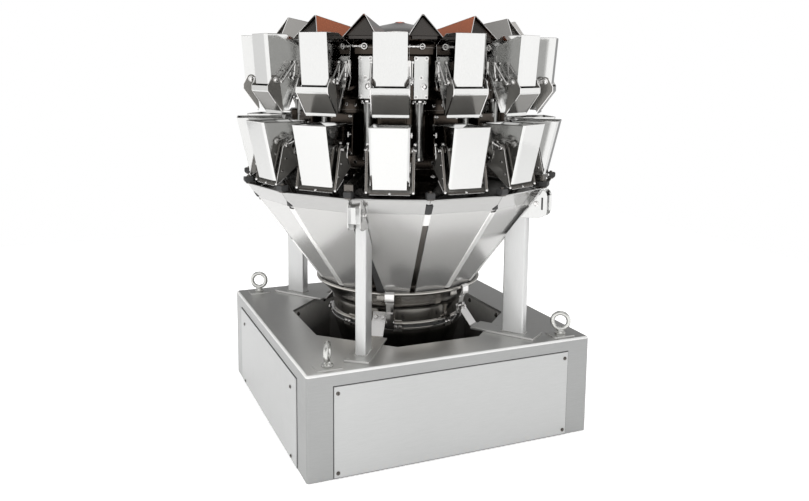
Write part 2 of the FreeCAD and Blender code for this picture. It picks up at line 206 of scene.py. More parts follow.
def fillet(pts, rad, seg=5):
    out = [Vector(pts[0])]
    for a, b, c in zip(pts, pts[1:], pts[2:]):
        a, b, c = Vector(a), Vector(b), Vector(c)
        u, w = (a - b), (c - b)
        L = min(rad, u.length * 0.45, w.length * 0.45)
        u.normalize()
        w.normalize()
        p, q = b + u * L, b + w * L
        for i in range(seg + 1):
            t = i / seg
            out.append(p * (1 - t) ** 2 + b * (2 * t * (1 - t)) + q * t ** 2)
    out.append(Vector(pts[-1]))
    return out


def tube(pts, r, seg=12, mat=0, rad=0.0, caps=True):
    pts = fillet(pts, rad) if rad else [Vector(p) for p in pts]
    vs, fs = [], []
    x = None
    for i, p in enumerate(pts):
        d = (pts[min(i + 1, len(pts) - 1)] - pts[max(i - 1, 0)]).normalized()
        if x is None:
            x, y, _ = frame_of(d)
        else:
            x = (x - d * x.dot(d)).normalized()
            y = d.cross(x)
        for k in range(seg):
            a = 2 * math.pi * k / seg
            vs.append(p + x * (r * math.cos(a)) + y * (r * math.sin(a)))
    for i in range(len(pts) - 1):
        for k in range(seg):
            k2 = (k + 1) % seg
            fs.append([i * seg + k, i * seg + k2, (i + 1) * seg + k2, (i + 1) * seg + k])
    g = Geo().add(vs, fs, mat, True)
    if caps:
        g.add(vs[:seg], [list(range(seg))[::-1]], mat)
        g.add(vs[-seg:], [list(range(seg))], mat)
    return g


def ball(c, r, mat=0, seg=16, squash=1.0, axis=(0, 0, 1)):
    n = seg // 2
    prof = [(r * math.sin(math.pi * i / n), -r * squash * math.cos(math.pi * i / n)) for i in range(n + 1)]
    return turned(prof, c, axis, seg, mat)


def capscrew(p, d, r=5.0, h=5.0, mat=0, socket_shade_mat=None):
    """Socket cap or button screw head with its hexagonal recess; the recess takes the second material, a dark one, as
    painted shade.
    """
    m2 = mat if socket_shade_mat is None else socket_shade_mat
    g = turned([(r * 1.45, 0), (r * 1.45, 0.9), (r * 1.02, 1.0), (r, 1.3), (r, h * 0.7), (r * 0.82, h),
                (r * 0.52, h)], p, d, 20, mat)
    x, y, dd = frame_of(d)
    p = Vector(p)
    top = [p + dd * h + (x * math.cos(k * math.pi / 3) + y * math.sin(k * math.pi / 3)) * r * 0.52 for k in range(6)]
    bot = [q - dd * (h * 0.5) for q in top]
    # walls and floor of the recess in the second material: painted shade
    g.add(top + bot, [[k, (k + 1) % 6, 6 + (k + 1) % 6, 6 + k] for k in range(6)] + [[6, 7, 8, 9, 10, 11]], m2)
    return g


def hexbolt(p, d, r=6.0, h=4.5, mat=0):
    g = turned([(r * 1.5, 0), (r * 1.5, 1.2), (r * 1.3, 1.5), (0.01, 1.5)], p, d, 24, mat)
    p = Vector(p)
    dd = Vector(d).normalized()
    g.join(cyl(p + dd * 1.5, p + dd * (1.5 + h), r, None, 6, mat, True, 0.7, False))
    return g


def bend(path, thick):
    """Closed outline of a bent strip: path is its centre line in a plane."""
    out_a, out_b = [], []
    n = len(path)
    for i in range(n):
        p = Vector(path[i])
        d0 = (p - Vector(path[i - 1])).normalized() if i else None
        d1 = (Vector(path[i + 1]) - p).normalized() if i < n - 1 else None
        if d0 is None:
            d0 = d1
        if d1 is None:
            d1 = d0
        nv = Vector((-(d0.y + d1.y), d0.x + d1.x))
        nv.normalize()
        k = max(0.35, nv.dot(Vector((-d0.y, d0.x))))
        out_a.append(p + nv * (thick / 2 / k))
        out_b.append(p - nv * (thick / 2 / k))
    return [tuple(p) for p in out_a] + [tuple(p) for p in reversed(out_b)]


def build(name, geo, mats, where=None, body="machine", swaps=(), bevel=None, solid=None,
          angle=32.0, scale=MM, seg=2, lift=LIFT):
    """Makes one Blender object. where is a list of matrices for repeated copies."""
    g = geo
    if where is not None:
        g = Geo()
        for M in where:
            g.join(geo, M)
    me = bpy.data.meshes.new(name)
    rise = Vector((0, 0, lift))
    me.from_pydata([(p + rise) * scale for p in g.v], [], g.f)
    for m in mats:
        me.materials.append(m)
    me.polygons.foreach_set("material_index", g.m)
    me.update()
    bm = bmesh.new()
    bm.from_mesh(me)
    bmesh.ops.remove_doubles(bm, verts=bm.verts, dist=2e-6)
    bmesh.ops.recalc_face_normals(bm, faces=bm.faces)
    bm.to_mesh(me)
    bm.free()
    me.shade_smooth()
    ob = bpy.data.objects.new(name, me)
    sc.collection.objects.link(ob)
    if solid:
        mod = ob.modifiers.new("solid", "SOLIDIFY")
        mod.thickness = solid[0] * MM
        mod.offset = solid[1]
        mod.use_even_offset = True
        mod.use_quality_normals = True
    if bevel:
        mod = ob.modifiers.new("bevel", "BEVEL")
        mod.width = bevel * MM
        mod.segments = seg
        mod.limit_method = "ANGLE"
        mod.angle_limit = math.radians(30)
        mod.use_clamp_overlap = True
        mod = ob.modifiers.new("weighted", "WEIGHTED_NORMAL")
        mod.mode = "FACE_AREA"
        mod.weight = 50
        mod.keep_sharp = False
    if solid or bevel:
        dg = bpy.context.evaluated_depsgraph_get()
        me2 = bpy.data.meshes.new_from_object(ob.evaluated_get(dg))
        me2.name = name
        ob.modifiers.clear()
        ob.data = me2
        bpy.data.meshes.remove(me)
        me = me2
    if not bevel:
        me.set_sharp_from_angle(angle=math.radians(angle))
    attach(ob, body)
    if swaps:
        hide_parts(*swaps)
    return ob


# =====================================================================
# materials: all procedural
# =====================================================================
def nt(name):
    m = bpy.data.materials.new(name)
    m.use_nodes = True
    t = m.node_tree
    b = t.nodes["Principled BSDF"]
    return m, t, b


def node(t, kind, **kw):
    n = t.nodes.new(kind)
    for k, v in kw.items():
        setattr(n, k, v)
    return n


def ramp(t, src, stops):
    r = node(t, "ShaderNodeValToRGB")
    e = r.color_ramp.elements
    while len(e) < len(stops):
        e.new(0.5)
    for i, (p, c) in enumerate(stops):
        e[i].position = p
        e[i].color = (c, c, c, 1) if isinstance(c, (int, float)) else (*c, 1)
    t.links.new(src, r.inputs[0])
    return r.outputs[0]


def noise(t, vec, scale, detail=2.0, rough=0.5, dist=0.0):
    n = node(t, "ShaderNodeTexNoise")
    n.inputs["Scale"].default_value = scale
    n.inputs["Detail"].default_value = detail
    n.inputs["Roughness"].default_value = rough
    n.inputs["Distortion"].default_value = dist
    t.links.new(vec, n.inputs["Vector"])
    return n.outputs["Fac"]


def mapping(t, vec, scale, rot=(0, 0, 0)):
    m = node(t, "ShaderNodeMapping")
    m.inputs["Scale"].default_value = scale
    m.inputs["Rotation"].default_value = rot
    t.links.new(vec, m.inputs["Vector"])
    return m.outputs[0]


def mixf(t, a, b, f):
    n = node(t, "ShaderNodeMix", data_type="FLOAT")
    for v, s in ((f, n.inputs[0]), (a, n.inputs[2]), (b, n.inputs[3])):
        if isinstance(v, (int, float)):
            s.default_value = v
        else:
            t.links.new(v, s)
    return n.outputs[0]


def mixc(t, a, b, f, mode="MIX"):
    n = node(t, "ShaderNodeMix", data_type="RGBA", blend_type=mode)
    for v, s in ((f, n.inputs[0]), (a, n.inputs[6]), (b, n.inputs[7])):
        if isinstance(v, (int, float)):
            s.default_value = v
        elif isinstance(v, tuple):
            s.default_value = (*v, 1)
        else:
            t.links.new(v, s)
    return n.outputs[2]


def bump(t, height, strength, dist, prev=None):
    n = node(t, "ShaderNodeBump")
    n.inputs["Strength"].default_value = strength
    n.inputs["Distance"].default_value = dist
    t.links.new(height, n.inputs["Height"])
    if prev is not None:
        t.links.new(prev, n.inputs["Normal"])
    return n.outputs[0]


def steel(name, base, rough, grain=(1, 1, 0.02), grain_scale=900.0, grain_k=0.06, wave=0.0,
          wave_scale=5.0, smudge=0.05, var=0.04, bump_k=0.05, hollow_shade=0.0, aniso=0.0, tint=None, metal=1.0):
    """Stainless steel: directional grain, slow waviness of the sheet, faint smears."""
    m, t, b = nt(name)
    b.inputs["Metallic"].default_value = metal
    tc = node(t, "ShaderNodeTexCoord").outputs["Object"]
    g = noise(t, mapping(t, tc, grain), grain_scale, 2.0, 0.6)
    sm = noise(t, tc, 9.0, 4.0, 0.62, 0.6)
    big = noise(t, tc, 2.3, 3.0, 0.5)
    spots = noise(t, tc, 60.0, 2.0, 0.7)
    c1 = tuple(max(0.0, x * (1 - var)) for x in base)
    c2 = tuple(min(1.0, x * (1 + var)) for x in base)
    col = mixc(t, c1, c2, ramp(t, big, [(0.3, 0.0), (0.7, 1.0)]))
    col = mixc(t, col, tuple(x * 0.80 for x in base), ramp(t, g, [(0.35, 0.35), (0.65, 0.0)]))
    if tint is not None:
        col = mixc(t, col, tint, ramp(t, sm, [(0.45, 0.0), (0.75, 0.6)]))
    # painted shade: darkens concave spots found by pointiness; no material here sets it
    if hollow_shade:
        geo = node(t, "ShaderNodeNewGeometry")
        pe = ramp(t, geo.outputs["Pointiness"], [(0.40, 1.0), (0.5, 0.0)])
        col = mixc(t, col, tuple(x * 0.35 for x in base), mixf(t, 0.0, hollow_shade, pe))
    t.links.new(col, b.inputs["Base Color"])
    r = mixf(t, max(0.01, rough - grain_k), rough + grain_k, g)
    r = mixf(t, r, rough + smudge * 2.2, ramp(t, sm, [(0.52, 0.0), (0.78, 0.7)]))
    r = mixf(t, r, rough + smudge, ramp(t, spots, [(0.62, 0.0), (0.72, 0.5)]))
    t.links.new(r, b.inputs["Roughness"])
    nrm = bump(t, g, bump_k, 0.0006)
    if wave:
        w = noise(t, tc, wave_scale, 1.0, 0.4)
        nrm = bump(t, w, wave, 0.02, nrm)
    t.links.new(nrm, b.inputs["Normal"])
    if aniso:
        b.inputs["Anisotropic"].default_value = aniso
    return m


def rubber(name, base, rough=0.6):
    m, t, b = nt(name)
    tc = node(t, "ShaderNodeTexCoord").outputs["Object"]
    n1 = noise(t, tc, 260.0, 3.0, 0.6)
    n2 = noise(t, tc, 14.0, 3.0, 0.6)
    col = mixc(t, tuple(x * 0.7 for x in base), tuple(min(1, x * 1.6 + 0.01) for x in base), n2)
    t.links.new(col, b.inputs["Base Color"])
    t.links.new(mixf(t, rough - 0.12, rough + 0.15, n1), b.inputs["Roughness"])
    t.links.new(bump(t, n1, 0.25, 0.0006), b.inputs["Normal"])
    b.inputs["Specular IOR Level"].default_value = 0.4
    return m


M_BASE = steel("base_brushed", (0.30, 0.303, 0.30), 0.36, (0.02, 0.02, 1), 1300, 0.05, 0.02, 3.0, 0.04, 0.03, 0.10)
M_TOP = steel("top_plate_brushed", (0.60, 0.598, 0.585), 0.36, (0.02, 1, 1), 1300, 0.05, 0.02, 3.0, 0.05, 0.04, 0.10)
M_PANEL = steel("panel_brushed", (0.43, 0.433, 0.43), 0.38, (0.02, 0.02, 1), 1500, 0.05, 0.02, 2.4, 0.03, 0.02, 0.10)
M_POST = steel("post_brushed", (0.52, 0.522, 0.518), 0.34, (1, 1, 0.02), 1200, 0.06, 0.02, 4.0, 0.04, 0.03, 0.10,
               metal=0.7)
# floor pan steel darkened: painted shade at the bottom of the well
M_WELL_SHADE = steel("well_floor_painted_shade", (0.26, 0.245, 0.225), 0.50, (1, 1, 0.05), 600, 0.06, 0.03, 4.0, 0.08, 0.12, 0.06, metal=0.7)
M_MIRROR = steel("hopper_polished", (0.58, 0.58, 0.572), 0.07, (1, 1, 0.03), 1400, 0.02, 0.05, 3.2, 0.05, 0.02, 0.02)
# polished gate steel given a dark colour: painted shade for the dark surroundings it reflects
M_GATE = steel("gate_polished_painted_shade", (0.145, 0.14, 0.13), 0.14, (1, 1, 0.03), 1400, 0.03, 0.05, 4.0, 0.05, 0.03, 0.02,
               metal=0.55)
M_GATE_BAND = steel("gate_band_satin", (0.56, 0.56, 0.55), 0.20, (1, 0.03, 1), 1200, 0.04, 0.03, 4.0, 0.05, 0.03, 0.04)
M_CHUTE = steel("chute_polished", (0.50, 0.495, 0.485), 0.20, (1, 1, 0.03), 1300, 0.05, 0.05, 2.6, 0.05, 0.03, 0.03,
                metal=0.75)
M_FUNNEL = steel("funnel_polished", (0.40, 0.385, 0.36), 0.16, (1, 1, 0.05), 900, 0.03, 0.04, 3.0, 0.06, 0.06, 0.03)
M_BODY = steel("body_polished_dark", (0.045, 0.037, 0.031), 0.16, (1, 1, 0.05), 900, 0.04, 0.06, 4.0, 0.08, 0.15, 0.04)
M_COVER = steel("cover_brushed", (0.52, 0.52, 0.51), 0.22, (1, 1, 0.03), 1200, 0.05, 0.04, 4.0, 0.05, 0.04, 0.05)
M_CHROME = steel("fittings_polished", (0.66, 0.65, 0.64), 0.10, (1, 1, 1), 700, 0.04, 0.0, 4.0, 0.06, 0.04, 0.03)
M_DARK = steel("fittings_dark", (0.12, 0.11, 0.10), 0.24, (1, 1, 1), 500, 0.06, 0.0, 4.0, 0.10, 0.15, 0.08)
M_ZINC = steel("eye_plated", (0.52, 0.52, 0.50), 0.24, (1, 1, 1), 420, 0.07, 0.0, 4.0, 0.12, 0.08, 0.14)
M_STRIP = steel("joint_plate_dark", (0.13, 0.12, 0.11), 0.20, (1, 1, 0.03), 1000, 0.04, 0.03, 4.0, 0.06, 0.05, 0.03)
M_RIM = steel("rim_polished", (0.44, 0.437, 0.43), 0.13, (0.03, 0.03, 1), 1200, 0.03, 0.06, 2.2, 0.05, 0.02, 0.03)
M_TUBE = steel("tube_satin", (0.30, 0.30, 0.29), 0.30, (1, 1, 0.03), 900, 0.05, 0.0, 4.0, 0.06, 0.05, 0.05)


def painted_reflection_steel(name, plain, warm_reflection, rough, kind):
    """Polished steel with warm reflections painted into its colour: bands by height for the pan walls, a warm middle
    for the table.
    """
    m, t, b = nt(name)
    b.inputs["Metallic"].default_value = 1.0
    tc = node(t, "ShaderNodeTexCoord").outputs["Object"]
    g = noise(t, mapping(t, tc, (1, 1, 0.2)), 900.0, 2.0, 0.6)
    n1 = noise(t, tc, 11.0, 2.0, 0.5, 0.4)
    n2 = noise(t, tc, 4.2, 1.0, 0.4)
    sep = node(t, "ShaderNodeSeparateXYZ")
    t.links.new(tc, sep.inputs[0])
    if kind == "bands":
        h = node(t, "ShaderNodeMapRange")
        t.links.new(sep.outputs["Z"], h.inputs["Value"])
        h.inputs["From Min"].default_value = 1.362
        h.inputs["From Max"].default_value = 1.438
        ad = node(t, "ShaderNodeMath", operation="MULTIPLY_ADD")
        t.links.new(n1, ad.inputs[0])
        ad.inputs[1].default_value = 0.22
        t.links.new(h.outputs[0], ad.inputs[2])
        f = ramp(t, ad.outputs[0], [(0.16, 0.15), (0.26, 1.0), (0.56, 1.0), (0.62, 0.05), (0.78, 0.05), (0.84, 1.0),
                                    (1.0, 0.9)])
        f = mixf(t, f, 0.0, ramp(t, n2, [(0.54, 0.0), (0.60, 1.0)]))
        col = mixc(t, plain, warm_reflection, f)
        col = mixc(t, col, (0.30, 0.285, 0.27), ramp(t, n2, [(0.60, 0.0), (0.66, 0.9)]))
    else:
        ln = node(t, "ShaderNodeVectorMath", operation="LENGTH")
        t.links.new(mapping(t, tc, (1, 1, 0)), ln.inputs[0])
        f = ramp(t, ln.outputs["Value"], [(0.024, 1.0), (0.032, 0.0)])
        col = mixc(t, plain, warm_reflection, f)
        col = mixc(t, col, tuple(x * 0.45 for x in plain), ramp(t, n1, [(0.55, 0.0), (0.75, 0.5)]))
    t.links.new(col, b.inputs["Base Color"])
    t.links.new(mixf(t, rough - 0.03, rough + 0.06, g), b.inputs["Roughness"])
    t.links.new(bump(t, g, 0.05, 0.0006), b.inputs["Normal"])
    return m


# pans: the dark base colour is painted shade for the dark surroundings the polished steel reflects; the warm bands by
# height are painted reflection
M_PAN = painted_reflection_steel("pan_polished_painted_reflection", (0.120, 0.110, 0.100), (0.17, 0.070, 0.042), 0.14, "bands")
# table: its warm middle is painted reflection
M_CONE = painted_reflection_steel("cone_polished_painted_reflection", (0.74, 0.72, 0.70), (0.55, 0.10, 0.03), 0.16, "middle")
M_GUSSET = steel("gusset_dark", (0.030, 0.026, 0.023), 0.26, (1, 1, 0.05), 900, 0.04, 0.04, 4.0, 0.06, 0.10, 0.03,
                 metal=0.5)
# warm and pale copies of the pan steel for chosen walls: painted reflection
M_PAN_WALL_WARM_REFLECTION = steel("pan_wall_painted_warm_reflection", (0.30, 0.085, 0.035), 0.24, (1, 1, 0.2), 900, 0.04, 0.03, 4.0, 0.05, 0.08, 0.03,
               metal=0.35)
M_PAN_WALL_PALE_REFLECTION = steel("pan_wall_painted_pale_reflection", (0.36, 0.35, 0.335), 0.22, (1, 1, 0.2), 900, 0.04, 0.03, 4.0, 0.05, 0.06, 0.03)
M_COVER_STRIP = steel("joint_cover_bright", (0.74, 0.735, 0.72), 0.24, (1, 1, 0.03), 1200, 0.04, 0.02, 4.0, 0.05, 0.03,
                      0.03, metal=0.6)
# lighter, rougher, less metallic copy of the wall steel for the rounded top edge of the base: painted highlight
M_BEND_HIGHLIGHT = steel("base_bend_painted_highlight", (0.62, 0.62, 0.61), 0.55, (0.02, 0.02, 1), 1300, 0.05, 0.0, 3.0, 0.04, 0.03, 0.05, metal=0.3)


def graded_steel(name, stops, rough, metal):
    """Sheet whose tone falls off with depth, as light reaches less far down."""
    m, t, b = nt(name)
    b.inputs["Metallic"].default_value = metal
    tc = node(t, "ShaderNodeTexCoord").outputs["Object"]
    g = noise(t, mapping(t, tc, (1, 1, 0.05)), 700.0, 2.0, 0.6)
    n1 = noise(t, tc, 5.0, 3.0, 0.5)
    sep = node(t, "ShaderNodeSeparateXYZ")
    t.links.new(tc, sep.inputs[0])
    ad = node(t, "ShaderNodeMath", operation="MULTIPLY_ADD")
    t.links.new(n1, ad.inputs[0])
    ad.inputs[1].default_value = 0.03
    t.links.new(sep.outputs["Z"], ad.inputs[2])
    col = None
    for z0, z1, c in stops:
        h = node(t, "ShaderNodeMapRange")
        t.links.new(ad.outputs[0], h.inputs["Value"])
        h.inputs["From Min"].default_value = z0
        h.inputs["From Max"].default_value = z1
        col = mixc(t, col if col is not None else (0.02, 0.018, 0.016), c, h.outputs[0])
    col = mixc(t, col, (0.03, 0.028, 0.026), ramp(t, g, [(0.35, 0.25), (0.65, 0.0)]))
    t.links.new(col, b.inputs["Base Color"])
    t.links.new(mixf(t, rough - 0.05, rough + 0.08, g), b.inputs["Roughness"])
    t.links.new(bump(t, g, 0.06, 0.0006), b.inputs["Normal"])
    return m


M_LINING = graded_steel("lining_graded", [(0.16, 0.27, (0.10, 0.096, 0.09)), (0.24, 0.365, (0.52, 0.51, 0.49))], 0.5, 0.15)
M_RUBBER = rubber("black_rubber", (0.018, 0.018, 0.018))
M_GASKET = rubber("grey_gasket", (0.045, 0.047, 0.048), 0.5)


# =====================================================================
# base
# =====================================================================
def rrect(hx, hy, rad, seg=6):
    pts = []
    for sx, sy, a0 in ((1, -1, -90), (1, 1, 0), (-1, 1, 90), (-1, -1, 180)):
        for i in range(seg + 1):
            a = math.radians(a0 + 90.0 * i / seg)
            pts.append((sx * (hx - rad) + rad * math.cos(a), sy * (hy - rad) + rad * math.sin(a)))
    return pts


def base_shell():
    g = Geo()
    H, S, R = BASE_H, HS, 9.0
    loops = []
    for z, inset in ((0.0, 1.0), (1.0, 0.0), (H - 7, 0.0), (H - 5.2, 0.3), (H - 3.2, 1.1), (H - 1.6, 2.4),
                     (H - 0.5, 4.2), (H, 6.8)):
        loops.append([(x, y, z) for x, y in rrect(S - inset, S - inset, max(R - inset * 0.3, 3))])
    n = len(loops[0])
    # loops from H - 7 up form the rounded top edge and take material 2: painted highlight along the fold
    for k, (a, b) in enumerate(zip(loops, loops[1:])):
        g.add(a + b, [[i, (i + 1) % n, n + (i + 1) % n, n + i] for i in range(n)], 2 if k >= 2 else 0, True)
    # inner bottom lip
    lip = [(x, y, 0.0) for x, y in rrect(S - 30, S - 30, 4)]
    g.add(loops[0] + lip, [[(i + 1) % n, i, n + i, n + (i + 1) % n] for i in range(n)], 0)
    # top face round the well, filled between the outline and the octagon
    A = 370.0
    rc = A / math.cos(math.radians(22.5))
    oc = [(rc * math.cos(math.radians(22.5 + 45 * k)), rc * math.sin(math.radians(22.5 + 45 * k))) for k in range(8)]
    bm = bmesh.new()
    o = [bm.verts.new(p) for p in loops[-1]]
    i_ = [bm.verts.new((x, y, H)) for x, y in oc]
    ed = [bm.edges.new((o[k], o[(k + 1) % n])) for k in range(n)]
    ed += [bm.edges.new((i_[k], i_[(k + 1) % 8])) for k in range(8)]
    bmesh.ops.triangle_fill(bm, edges=ed, use_beauty=True)
    bm.verts.index_update()
    g.add([v.co.copy() for v in bm.verts], [[v.index for v in f.verts] for f in bm.faces], 1)
    bm.free()
    # folded rim and lining of the well
    ocl = [[(x * k, y * k, z) for x, y in oc] for z, k in ((H, 1.0), (H - 2.0, 0.9985), (H - 8.0, 0.9985))]
    for a, b in zip(ocl, ocl[1:]):
        g.add(a + b, [[k, (k + 1) % 8, 8 + (k + 1) % 8, 8 + k] for k in range(8)], 1)
    return g


build("base_shell", base_shell(), [M_BASE, M_TOP, M_BEND_HIGHLIGHT], swaps=("base_top_plate", "base_corner_columns",
      "base_outer_walls"), angle=40, lift=0.0)

lin = Geo()
for k in range(8):
    h = 370.0 * math.tan(math.radians(22.5)) - 0.4
    lin.join(prz([(370.5, 12), (374, 12), (374, BASE_H - 8), (370.5, BASE_H - 8)], -h, h), HM(45 * k))
    for z in (60, BASE_H - 26):
        for t in (-110, 110):
            lin.join(hexbolt((370.5, t, z), (-1, 0, 0), 6, 4, 1), HM(45 * k))
build("well_lining", lin, [M_LINING, M_DARK], swaps=("base_well_lining",), bevel=1.0,
      lift=0.0)


def floor_pan():
    g = Geo()
    bm = bmesh.new()
    u, w = HS - 7.0, HS - 47.0
    outer = [(sx * a, sy * b) for sx, sy, a, b in ((-1, -1, u, w), (-1, -1, w, w), (-1, -1, w, u), (1, -1, w, u),
             (1, -1, w, w), (1, -1, u, w), (1, 1, u, w), (1, 1, w, w), (1, 1, w, u), (-1, 1, w, u), (-1, 1, w, w),
             (-1, 1, u, w))]
    inner = [(190 * math.cos(2 * math.pi * k / 64), 190 * math.sin(2 * math.pi * k / 64)) for k in range(64)]
    o = [bm.verts.new((x, y, 12)) for x, y in outer]
    i_ = [bm.verts.new((x, y, 12)) for x, y in inner]
    ed = [bm.edges.new((o[k], o[(k + 1) % len(o)])) for k in range(len(o))]
    ed += [bm.edges.new((i_[k], i_[(k + 1) % 64])) for k in range(64)]
    bmesh.ops.triangle_fill(bm, edges=ed, use_beauty=True)
    bm.verts.index_update()
    vs = [v.co.copy() for v in bm.verts]
    fs = [[v.index for v in f.verts] for f in bm.faces]
    bm.free()
    g.add(vs, fs)
    g.add([Vector((v.x, v.y, 6)) for v in vs], [f[::-1] for f in fs])
    g.join(lathe([(190, 6), (188, 4.5), (184, 4.5), (184, 18), (187, 20), (190, 12)], 64))
    g.join(lathe([(190, 6), (190, 12)], 64))
    return g


build("floor_pan", floor_pan(), [M_WELL_SHADE], swaps=("base_floor_pan",), lift=0.0)


def panel(width, bolts_z, bolts_x):
    """Removable panel in its own frame: x along, y outward (negative), z up; face at y = 0."""
    g = Geo()
    w = width / 2.0
    z0, z1 = 4.0, 302.0
    # sheet with softly folded edges
    prof = [(0.0, 0.0), (0.0, 2.2), (0.6, 3.4), (1.8, 4.0)]
    loops = []
    for ins, out in prof:
        loops.append([(-w + ins, -out, z0 + ins), (w - ins, -out, z0 + ins), (w - ins, -out, z1 - ins),
                      (-w + ins, -out, z1 - ins)])
    for a, b in zip(loops, loops[1:]):
        g.add(a + b, [[k, (k + 1) % 4, 4 + (k + 1) % 4, 4 + k] for k in range(4)], 0, True)
    # face divided with a very slight hollow so that it reflects like real sheet
    nx, nz = 28, 10
    vs, fs = [], []
    for j in range(nz + 1):
        for i in range(nx + 1):
            u, v = i / nx, j / nz
            d = 0.35 * math.sin(math.pi * u) * math.sin(math.pi * v)
            vs.append((-w + 1.8 + (2 * w - 3.6) * u, -4.0 + d, z0 + 1.8 + (z1 - z0 - 3.6) * v))
    for j in range(nz):
        for i in range(nx):
            a = j * (nx + 1) + i
            fs.append([a, a + 1, a + nx + 2, a + nx + 1])
    g.add(vs, fs, 0, True)
    # black rubber seal round the panel, seen as a dark line that also stands in for the shadow in the gap along its
    # edges: painted shade
    for ring in (((-w - 1.8, z0 - 1.8), (w + 1.8, z1 + 1.8)),):
        (a0, b0), (a1, b1) = ring
        for x0, zz0, x1, zz1 in ((a0, b0, a1, b0 + 2.4), (a0, b1 - 2.4, a1, b1), (a0, b0, a0 + 2.4, b1),
                                 (a1 - 2.4, b0, a1, b1)):
            g.join(boxg(x0, -1.0, zz0, x1, 0.2, zz1, 1))
    for x in bolts_x:
        for z in bolts_z:
            g.join(capscrew((x, -4.0, z), (0, -1, 0), 4.6, 3.2, 2, 3))
    return g


def place(az, off):
    """Frame of a side face: x along, y inward, at distance off."""
    a = math.radians(az)
    return Matrix(((math.cos(a), -math.sin(a), 0, off * math.sin(a)),
                   (math.sin(a), math.cos(a), 0, -off * math.cos(a)), (0, 0, 1, 0), (0, 0, 0, 1)))


PM = [M_PANEL, M_RUBBER, M_DARK, M_RUBBER]
fp = panel(850, (20, 280), (-412, 412))
build("front_panel_sheet", fp, PM, [place(0, HS)], swaps=("front_panel",), angle=40, lift=0.0)
build("back_panel_sheet", fp, PM, [place(180, HS)], swaps=("back_panel",), angle=40, lift=0.0)
sp = panel(810, (16, 252), (-342, 342))
build("side_panel_sheets", sp, PM, [place(90, HS), place(270, HS)], swaps=("side_panels",),
      angle=40, lift=0.0)

# lifting eyes
EYES = ((-1, -1, 62.0), (1, -1, -34.0), (-1, 1, -24.0), (1, 1, -62.0))
ey = Geo()
for sx, sy, turn in EYES:
    M = Matrix.Translation((sx * 428, sy * 458, DECK)) @ Matrix.Rotation(math.radians(turn), 4, "Z")
    P0 = Matrix.Translation((sx * 428, sy * 458, DECK))
    e = Geo()
    e.join(lathe([(0.01, 3.2), (18.5, 3.2), (19, 4.2), (19, 8.2), (17.5, 10.5), (13.5, 12.5), (10.5, 16), (9.4, 20),
                  (0.01, 22)], 40))
    e.join(torus((0, 0, 3 + 15 + EYE_R_ + EYE_B_ - 4), (0, 1, 0), EYE_R_, EYE_B_, 56, 20))
    ey.join(e, M)
    # welded pad
    pd = Geo()
    pad = rrect(42, 32, 5, 4)
    n = len(pad)
    lo = [(x, y, 0) for x, y in pad]
    hi = [(x, y, 2.4) for x, y in pad]
    top = [(x * 0.985, y * 0.98, 3.0) for x, y in pad]
    for a, b in ((lo, hi), (hi, top)):
        pd.add(a + b, [[i, (i + 1) % n, n + (i + 1) % n, n + i] for i in range(n)], 1, True)
    pd.add(top, [list(range(n))], 1)
    ey.join(pd, P0)
build("lifting_eye_bolts", ey, [M_ZINC, M_TOP], swaps=("lifting_eyes",))

# =====================================================================
# posts, feet, brackets
# =====================================================================
CH_R0, CH_Z0, CH_R1, CH_Z1 = 287.0, 470.0, 520.0, 790.0
RIM_R, RIM_Z = 553.0, 838.0
SL = (CH_R1 - CH_R0) / (CH_Z1 - CH_Z0)


def chute_r(z):
    return CH_R0 + (z - CH_Z0) * SL


def weld(path, r=2.6, mat=0, seed=1):
    """Uneven weld bead along a closed path."""
    rnd = random.Random(seed)
    g = Geo()
    pts = [Vector(p) for p in path]
    n = len(pts)
    for i in range(n):
        a, b = pts[i], pts[(i + 1) % n]
        L = (b - a).length
        k = max(1, int(L / 4.5))
        for j in range(k):
            c = a.lerp(b, (j + 0.5) / k)
            g.join(ball(c, r * rnd.uniform(0.85, 1.15), mat, 8, 0.8))
    return g


skew = math.cos(math.radians(36.0 - PITCH))
z_in = CH_Z0 + (440 * skew - 6.0 - CH_R0) / SL
z_out = CH_Z0 + (520 * skew - 6.0 - CH_R0) / SL
post = Geo()
outl = [(480 + x, y) for x, y in rrect(40, 17.5, 6, 5)]


def headz(r):
    return z_in + (r - 440) * (z_out - z_in) / 80.0


n = len(outl)
lo = [(x, y, 324) for x, y in outl]
hi = [(x, y, headz(x) - 0.5) for x, y in outl]
post.add(lo + hi, [[i, (i + 1) % n, n + (i + 1) % n, n + i] for i in range(n)], 0, True)
inn = [(480 + x, y) for x, y in rrect(36, 13.5, 3, 5)]
hin = [(x, y, headz(x) - 0.5) for x, y in inn]
lin_ = [(x, y, headz(x) - 60) for x, y in inn]
post.add(hi + hin, [[i, (i + 1) % n, n + (i + 1) % n, n + i] for i in range(n)], 0)
post.add(hin + lin_, [[i, (i + 1) % n, n + (i + 1) % n, n + i] for i in range(n)], 0, True)
post.add(lin_, [list(range(n))], 0)
post.join(weld([(x + (2 if x > 480 else -2) * (1 if abs(y) < 12 else 0.5), y + (1.6 if y > 0 else -1.6), 324.6)
                for x, y in outl], 2.2, 1))
build("support_posts_tube", post, [M_POST, M_ZINC], [HM(a) for a in POSTS], swaps=("support_posts",),
      angle=40)

foot = Geo()
foot.join(prism([(FT_IN, -42, 316.2), (FT_OUT, -42, 316.2), (FT_OUT, 42, 316.2), (FT_IN, 42, 316.2)], (0, 0, 7.8)))
build("post_foot_bases", foot, [M_TOP, M_CHROME], [HM(a) for a in POSTS], swaps=("post_foot_plates",),
      bevel=1.2, seg=3)
fb = Geo()
for r, t in ((548, -28), (548, 28), (402, -28), (402, 28)):
    fb.join(turned([(0.01, 0), (6.0, 0), (6.0, 0.3), (4.6, 0.7), (2.0, 0.4), (0.01, 0.4)], (r, t, 324), (0, 0, 1), 24, 0))
build("foot_bolts", fb, [M_TOP], [HM(a) for a in POSTS])

